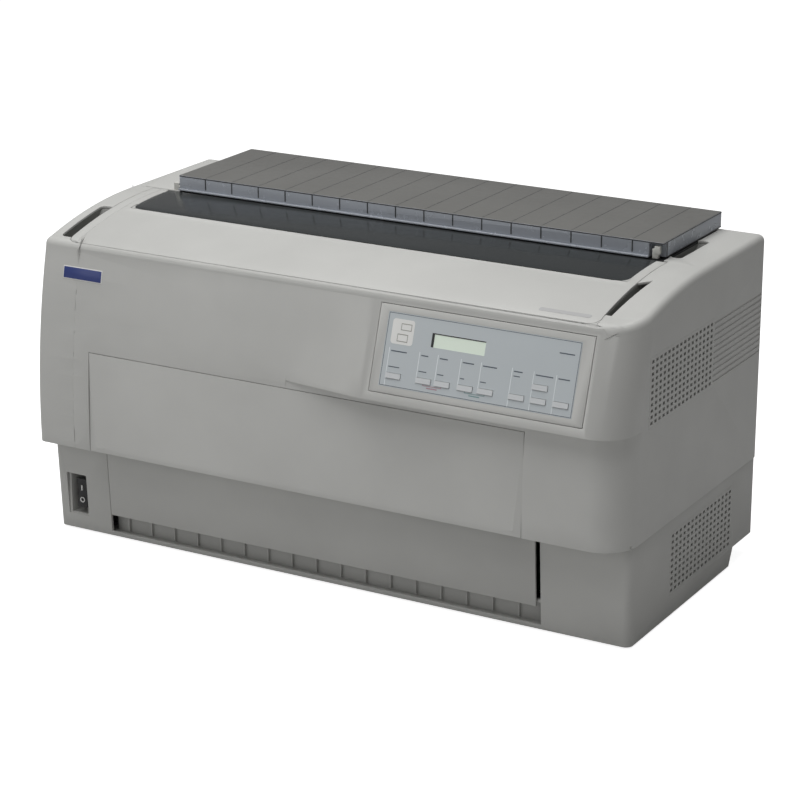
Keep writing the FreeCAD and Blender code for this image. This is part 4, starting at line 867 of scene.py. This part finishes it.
def guide_ribs(count=16, thin=0.0008):
    """Ribs under the guide's top, each with its dark line on the top and on the front; ribs and lines are
    near black, painted shade of the ribs as they show through the smoked plastic.
    """
    pitch = (GUIDE_RIGHT - GUIDE_LEFT) / (count + 1)
    parts = []
    for number in range(1, count + 1):
        x = GUIDE_LEFT + pitch * number
        parts.append(block(f"guide_rib_{number}", (x - thin, GUIDE_FRONT + GUIDE_SKIN, GUIDE_FOOT + 0.004),
                           (x + thin, GUIDE_REAR - 0.004, GUIDE_TOP - GUIDE_SKIN)))
        parts.append(block(f"rib_line_{number}", (x - thin / 2, GUIDE_FRONT + 0.001, GUIDE_TOP - 0.0005),
                           (x + thin / 2, GUIDE_REAR - 0.001, GUIDE_TOP + 0.00004)))
        parts.append(block(f"rib_edge_{number}", (x - thin, GUIDE_FRONT - 0.00005, GUIDE_FOOT + 0.0035),
                           (x + thin, GUIDE_FRONT + 0.0005, GUIDE_TOP - 0.001)))
    return [give(part, "guide_shade_line") for part in parts]


def guide_edges():
    """Dark lines of painted shade along the guide's front and right edges and up its notch."""
    width, drop = 0.0011, 0.0006
    inside, proud = 0.0005, 0.00006
    low, high = GUIDE_TOP - width - drop, GUIDE_TOP - drop
    inner, outer = GUIDE_RIGHT - inside, GUIDE_RIGHT + proud
    parts = (
        block("front_edge", (GUIDE_LEFT, GUIDE_FRONT - proud, low),
              (GUIDE_RIGHT - 0.0002, GUIDE_FRONT + inside, high)),
        block("side_edge", (inner, GUIDE_FRONT, low), (outer, GUIDE_REAR, high)),
        block("foot_edge", (inner, NOTCH_REAR, GUIDE_FOOT), (outer, GUIDE_REAR, GUIDE_FOOT + width)),
        block("upright", (inner, NOTCH_REAR, GUIDE_FOOT), (outer, NOTCH_REAR + width, GUIDE_TOP - width)),
    )
    return [give(part, "guide_shade_line") for part in parts]


def guide_pivot():
    """White pivot block that shows in the notch."""
    edge = 0.0007
    post = block("pivot_post", (NOTCH_LEFT + 0.003, GUIDE_FRONT + 0.0012, CASE_TOP),
                 (NOTCH_LEFT + 0.0095, GUIDE_FRONT + 0.0062, CASE_TOP + 0.0105))
    ear = block("pivot_ear", (NOTCH_LEFT + 0.0055, GUIDE_FRONT + 0.0006, CASE_TOP + 0.005),
                (NOTCH_LEFT + 0.0115, GUIDE_FRONT + 0.0055, CASE_TOP + 0.0135))
    return joined("guide_pivot_tab", [rounded(post, edge, 2), rounded(ear, edge, 2)])


# Finger slots and the pocket beside the guide
class PRINTER_OT_slots(bpy.types.Operator):
    """Floors the finger slots beside the cover and the pocket beside the guide, in a darker grey that paints
    their shade
    """
    bl_idname = "printer.slots"
    bl_label = "Slots"

    def execute(self, context):
        cups = []
        for name, (low, high), depth, ramp in (
                ("left_slot_cup", LEFT_SLOT, 0.029, 0.022),
                ("right_slot_cup", RIGHT_SLOT, 0.029, 0.024),
                ("pocket_cup", POCKET, 0.016, 0.018)):
            cups.append(slot_cup(name, (low[0], high[0]), (low[1], high[1]), CASE_TOP - depth, ramp))
        # The darker slot plastic paints the shade in the slots and the pocket.
        finish_piece(joined("slot_cups", cups), "slot", "case")
        return {"FINISHED"}


def slot_cup(name, x, y, floor, ramp, steps=12):
    """Cup under a slot: level floor, upright walls and a ramp up at the rear."""
    thin = 0.0015
    rim_drop = 0.0031
    ramp_drop = 0.001
    above = CASE_TOP + 0.01
    outline = [(y[0] - thin, floor - thin), (y[1] + thin, floor - thin)]
    for step in range(steps + 1):
        place = y[1] + thin - (y[1] - y[0] + 2 * thin) * step / steps
        outline.append((place, crown(place, rim_drop)))
    outer = prism(name, outline, x[0] - thin, x[1] + thin, "x")
    room = [(y[0], floor), (y[1] - ramp, floor), (y[1], crown(y[1]) - ramp_drop),
            (y[1], above), (y[0], above)]
    return combine(outer, prism(name + " room", room, x[0], x[1], "x"), "DIFFERENCE")


# Control panel print, in distances across and up the film
BORDER_INSET = 0.0008
RULE_WIDTH = 0.0009
RULE_TOP = 0.0395
LABEL_LAYER = 0.6
LABEL_GAP = 0.0024
LABEL_ROW = (0.0357, 0.0369)
SMALL_LABEL_GAP = 0.002
SMALL_LABEL_ROW = (0.0199, 0.0209)

# For each button: width of its upper blank label, width of its lower one, and where its rule starts
BUTTON_LABELS = (
    (0.018, 0.0125, 0.001),
    (0.008, 0.0088, 0.0135),
    (0.009, 0.0072, 0.0135),
    (0.0125, 0.0046, 0.0135),
    (0.0155, 0.0062, 0.0135),
    (0.0095, None, 0.001),
    (None, None, None),
    (0.019, None, 0.001),
    (0.0125, None, 0.001),
)


class PRINTER_OT_panel_print(bpy.types.Operator):
    """Prints the panel film: its border, rules, blank labels, pictogram and brackets, and paints shade at the
    display's edge
    """
    bl_idname = "printer.panel_print"
    bl_label = "Panel print"

    def execute(self, context):
        low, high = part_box("panel_overlay")
        film = PanelFilm()
        left, right = low[0] + BORDER_INSET, high[0] - BORDER_INSET
        dark, light = self.border(film, left, right), []
        for number, (width, small_width, start) in enumerate(BUTTON_LABELS, 1):
            if width is None:
                continue
            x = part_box(f"button_{number}")[0][0] - 0.0002
            light.append(film.mark("rule", (x, x + RULE_WIDTH), (start, RULE_TOP)))
            across = (x + LABEL_GAP, x + LABEL_GAP + width)
            dark.append(film.mark("label", across, LABEL_ROW, LABEL_LAYER))
            if small_width:
                across = (x + SMALL_LABEL_GAP, x + SMALL_LABEL_GAP + small_width)
                dark.append(film.mark("label", across, SMALL_LABEL_ROW, LABEL_LAYER))
        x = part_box("button_6")[0][0]
        dark.append(film.mark("label", (x + LABEL_GAP, x + 0.0094), (0.0312, 0.0322), LABEL_LAYER))
        dark.append(film.mark("label", (right - 0.022, right - 0.0055), (0.0607, 0.0619), LABEL_LAYER))
        film.lay(joined("film_marks", dark), "mark")
        film.lay(joined("film_rules", light), "light_line")
        self.bracket(film, "left_bracket", 2, 3, "pink_mark")
        self.bracket(film, "right_bracket", 4, 5, "green_mark")
        self.pictogram(film, low[0] + 0.0062)
        self.display(film)
        return {"FINISHED"}

    def border(self, film, left, right):
        """Four lines round the film."""
        thin = 0.0005
        foot, head = BORDER_INSET, film.height - BORDER_INSET
        lines = (((left, right), (foot, foot + thin)), ((left, right), (head - thin, head)),
                 ((left, left + thin), (foot, head)), ((right - thin, right), (foot, head)))
        return [film.mark("border", across, up) for across, up in lines]

    def bracket(self, film, name, first, last, finish):
        """Bracket under a pair of buttons, with its blank word."""
        foot, bar, hook, thin, half_word = 0.0068, 0.0074, 0.0084, 0.0006, 0.006
        boxes = [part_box(f"button_{number}") for number in (first, last)]
        x0, x1 = [(low[0] + high[0]) / 2 for low, high in boxes]
        middle = (x0 + x1) / 2
        bars = (((x0, x1), (foot, bar)), ((x0, x0 + thin), (foot, hook)), ((x1 - thin, x1), (foot, hook)),
                ((middle - half_word, middle + half_word), (0.0045, 0.0056)))
        film.lay(joined(name, [film.mark(name, across, up) for across, up in bars]), finish)

    def pictogram(self, film, x):
        """Pale card with the outlines of two sheets."""
        plan = rounded_plan((x, 0.0435), (x + 0.0250, 0.0688), (0.003,) * 4, 4)
        card = film.plate("pictogram_card", plan)
        film.lay(card, "pale_mark")
        lines = []
        for x0, x1, foot, foot_line, head_line, head in (
                (0.007, 0.019, 0.0462, 0.0470, 0.0532, 0.0540),
                (0.010, 0.022, 0.0578, 0.0585, 0.0640, 0.0647)):
            thin = 0.0006
            for across, up in (((x0, x1), (foot, foot_line)), ((x0, x1), (head_line, head)),
                               ((x0, x0 + thin), (foot, head)), ((x1 - thin, x1), (foot, head))):
                lines.append(film.mark("pictogram_line", (x + across[0], x + across[1]), up, 1.6))
        film.lay(joined("pictogram_lines", lines), "soft_mark")

    def display(self, film):
        """Dark strips at the display's left and top, painted shade."""
        low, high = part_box("lcd_display")
        v0, v1 = film.span("lcd_display")
        left, layer = low[0] - 0.0026, 0.4
        edge = [film.mark("display_painted_shade", (left, low[0] + 0.0002), (v0, v1), layer),
                film.mark("display_painted_shade", (left, high[0]), (v1 - 0.0006, v1 + 0.0004), layer)]
        # Near black finish: painted shade along the display's rim.
        film.lay(joined("display_painted_shade", edge), "black")


class PanelFilm:
    """Plane of the leaning film, on which flat marks are made and laid."""

    def __init__(self):
        press = next(joint for joint in frame["joints"] if joint["name"] == "button_1_press")
        self.inward = Vector(press["axis"])
        self.upward = Vector((0, -self.inward.z, self.inward.y))
        spots = [vertex.co for vertex in frame["nodes"]["panel_overlay"].data.vertices]
        self.face = min(spot.dot(self.inward) for spot in spots)
        self.foot = min(spot.dot(self.upward) for spot in spots)
        self.height = max(spot.dot(self.upward) for spot in spots) - self.foot

    def span(self, node):
        """Lowest and highest place of a node, measured up the film."""
        ups = [vertex.co.dot(self.upward) - self.foot for vertex in frame["nodes"][node].data.vertices]
        return min(ups), max(ups)

    def lay(self, item, finish):
        finish_piece(item, finish, "case")

    def plate(self, name, plan):
        """Thin printed plate of any outline, given across and up the film."""
        proud = bpy.context.scene.printer_sizes.film_proud
        item = prism(name, plan, -proud, proud)
        item.rotation_euler = (math.atan2(self.upward.z, self.upward.y), 0, 0)
        item.location = self.upward * self.foot + self.inward * self.face
        return settle(item)

    def mark(self, name, x, up, layer=1.0):
        """Thin printed plate on the film, between two places across and two up."""
        proud = bpy.context.scene.printer_sizes.film_proud * layer
        centre = self.upward * (self.foot + (up[0] + up[1]) / 2) + self.inward * self.face
        nothing_picked()
        lean = math.atan2(self.upward.y, self.upward.z)
        place = ((x[0] + x[1]) / 2, centre.y, centre.z)
        bpy.ops.mesh.primitive_cube_add(size=1.0, location=place, rotation=(-lean, 0, 0))
        item = bpy.context.object
        item.name = name
        item.scale = (x[1] - x[0], proud * 2, up[1] - up[0])
        return settle(item)


# Name plate, power rocker and near black sheets of painted shade behind the vents
class PRINTER_OT_trim(bpy.types.Operator):
    """Adds the bare name plate, the power rocker's key and near black sheets behind the vents as painted
    shade
    """
    bl_idname = "printer.trim"
    bl_label = "Trim"

    def execute(self, context):
        sizes = context.scene.printer_sizes
        width, height = sizes.plate_width, sizes.plate_height
        rim = 0.0016
        self.plate("name_plate_rim", (-0.3206, 0.2948), width + rim, height + rim, 0.0003, "pale_mark")
        self.plate("name_plate", (-0.3198, 0.2956), width, height, 0.0006, "plate")
        self.screens()
        self.rocker()
        return {"FINISHED"}

    def plate(self, name, corner, width, height, proud, finish):
        """Thin plate laid on the leaning face of the upper case."""
        probe_x, depth = -0.29, 0.002
        case = case_surface()
        left, low = corner
        plate = block(name, (left, 0, low), (left + width, depth, low + height))
        for vertex in plate.data.vertices:
            face = face_at(case, probe_x, vertex.co.z)
            vertex.co.y = face - proud if vertex.co.y < depth / 2 else face + depth / 2
        rounded(plate, 0.0002, 2)
        finish_piece(plate, finish, "case")

    def screens(self):
        """Near black sheets behind the two groups of vents, painted shade in place of the dim inside of the
        case.
        """
        gap, thick, side, rise = 0.0025, 0.001, 0.004, 0.003
        for name in ("upper", "lower"):
            low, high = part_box(f"side_grille_{name}")
            inner = low[0] - gap
            screen = block(f"painted_vent_shade_{name}", (inner - thick, low[1] - side, low[2] - rise),
                           (inner, high[1] + side, high[2] + rise))
            rounded(screen, 0.0003, 1)
            # The near black finish paints the shade behind the vents.
            finish_piece(screen, "screen", "case")

    def rocker(self):
        """Key of the power switch, drawn forward until the camera sees it, with its two marks."""
        low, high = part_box("power_rocker")
        middle = (low[0] + high[0]) / 2 + 0.0015
        level = (low[2] + high[2]) / 2 + 0.001
        face = low[1] - 0.016
        back = low[1] + 0.001
        half_width, rise, root, dip = 0.0065, 0.0168, 0.013, 0.0022
        outline = [(face, level - rise), (face + dip, level), (face, level + rise),
                   (back, level + root), (back, level - root)]
        key = prism("rocker_key", outline, middle - half_width, middle + half_width, "x")
        rounded(key, 0.0006, 2, 30.0, False)
        finish_piece(key, "black", "power_rocker", ("power_rocker",))
        quarter = (high[2] - low[2]) / 4
        half_line, half_length = 0.0006, 0.003
        bar = block("on_mark", (middle - half_line, face - 0.0002, high[2] - quarter - half_length),
                    (middle + half_line, face + 0.003, high[2] - quarter + half_length))
        nothing_picked()
        bpy.ops.mesh.primitive_torus_add(
            major_radius=0.0026, minor_radius=half_line, major_segments=32, minor_segments=8,
            location=(middle, face + half_line, low[2] + quarter), rotation=(math.pi / 2, 0, 0))
        ring = settle(bpy.context.object)
        finish_piece(joined("rocker_marks", [bar, ring]), "pale_mark", "power_rocker")


# Finish of every node that is carried over from the CAD as it is
FINISHES = (
    ("film", "panel_overlay"),
    ("display", "lcd_display"),
    ("button", "button_1 button_2 button_3 button_4 button_5 button_6 button_7 button_8 button_9"),
    ("black", "ribbon_cartridge fan_housing fan_rotor mains_inlet parallel_port serial_port"),
    ("dark", "paper_exit_tray rear_paper_entry tractor_left tractor_right tractor_lid_left"),
    ("dark", "tractor_lid_right carriage"),
    ("lower", "switch_bezel"),
    ("white", "guide_pivot_left platen_gear feed_pinion drive_pulley idler_pulley"),
    ("sheet", "base_pan side_frame_left side_frame_right power_supply"),
    ("ground", "guide_rod_front guide_rod_rear platen_shaft tractor_shaft"),
    ("alloy", "print_head"),
    ("motor", "feed_motor carriage_motor"),
    ("rubber", "platen_roller timing_belt rubber_feet"),
    ("board", "main_board"),
    ("ribbon", "ink_ribbon"),
)


class PRINTER_OT_finishes(bpy.types.Operator):
    """Gives every carried-over node its own finish"""
    bl_idname = "printer.finishes"
    bl_label = "Finishes"

    def execute(self, context):
        for finish, names in FINISHES:
            for name in names.split():
                give(frame["nodes"][name], finish)
        return {"FINISHED"}


class PRINTER_PT_panel(bpy.types.Panel):
    """Lists the steps that dress the printer"""
    bl_label = "Printer"
    bl_idname = "PRINTER_PT_panel"
    bl_space_type = "VIEW_3D"
    bl_region_type = "UI"
    bl_category = "Printer"

    def draw(self, context):
        layout = self.layout
        for name in PrinterSizes.__annotations__:
            layout.prop(context.scene.printer_sizes, name)
        for name in PrinterColours.__annotations__:
            layout.prop(context.scene.printer_colours, name)
        for operator in OPERATORS:
            layout.operator(operator.bl_idname)


OPERATORS = (PRINTER_OT_stage, PRINTER_OT_finishes, PRINTER_OT_casing, PRINTER_OT_cover, PRINTER_OT_guide,
             PRINTER_OT_slots, PRINTER_OT_panel_print, PRINTER_OT_trim)
CLASSES = (PrinterSizes, PrinterColours, PrinterView) + OPERATORS + (PRINTER_PT_panel,)


def register():
    for item in CLASSES:
        bpy.utils.register_class(item)
    bpy.types.Scene.printer_sizes = bpy.props.PointerProperty(type=PrinterSizes)
    bpy.types.Scene.printer_colours = bpy.props.PointerProperty(type=PrinterColours)
    bpy.types.Scene.printer_view = bpy.props.PointerProperty(type=PrinterView)


def unregister():
    del bpy.types.Scene.printer_sizes
    del bpy.types.Scene.printer_colours
    del bpy.types.Scene.printer_view
    for item in reversed(CLASSES):
        bpy.utils.unregister_class(item)


def main():
    register()
    make_materials(bpy.context.scene.printer_colours)
    bpy.ops.printer.stage()
    bpy.ops.printer.finishes()
    bpy.ops.printer.casing()
    bpy.ops.printer.cover()
    bpy.ops.printer.guide()
    bpy.ops.printer.slots()
    bpy.ops.printer.panel_print()
    bpy.ops.printer.trim()


if __name__ == "__main__":
    main()
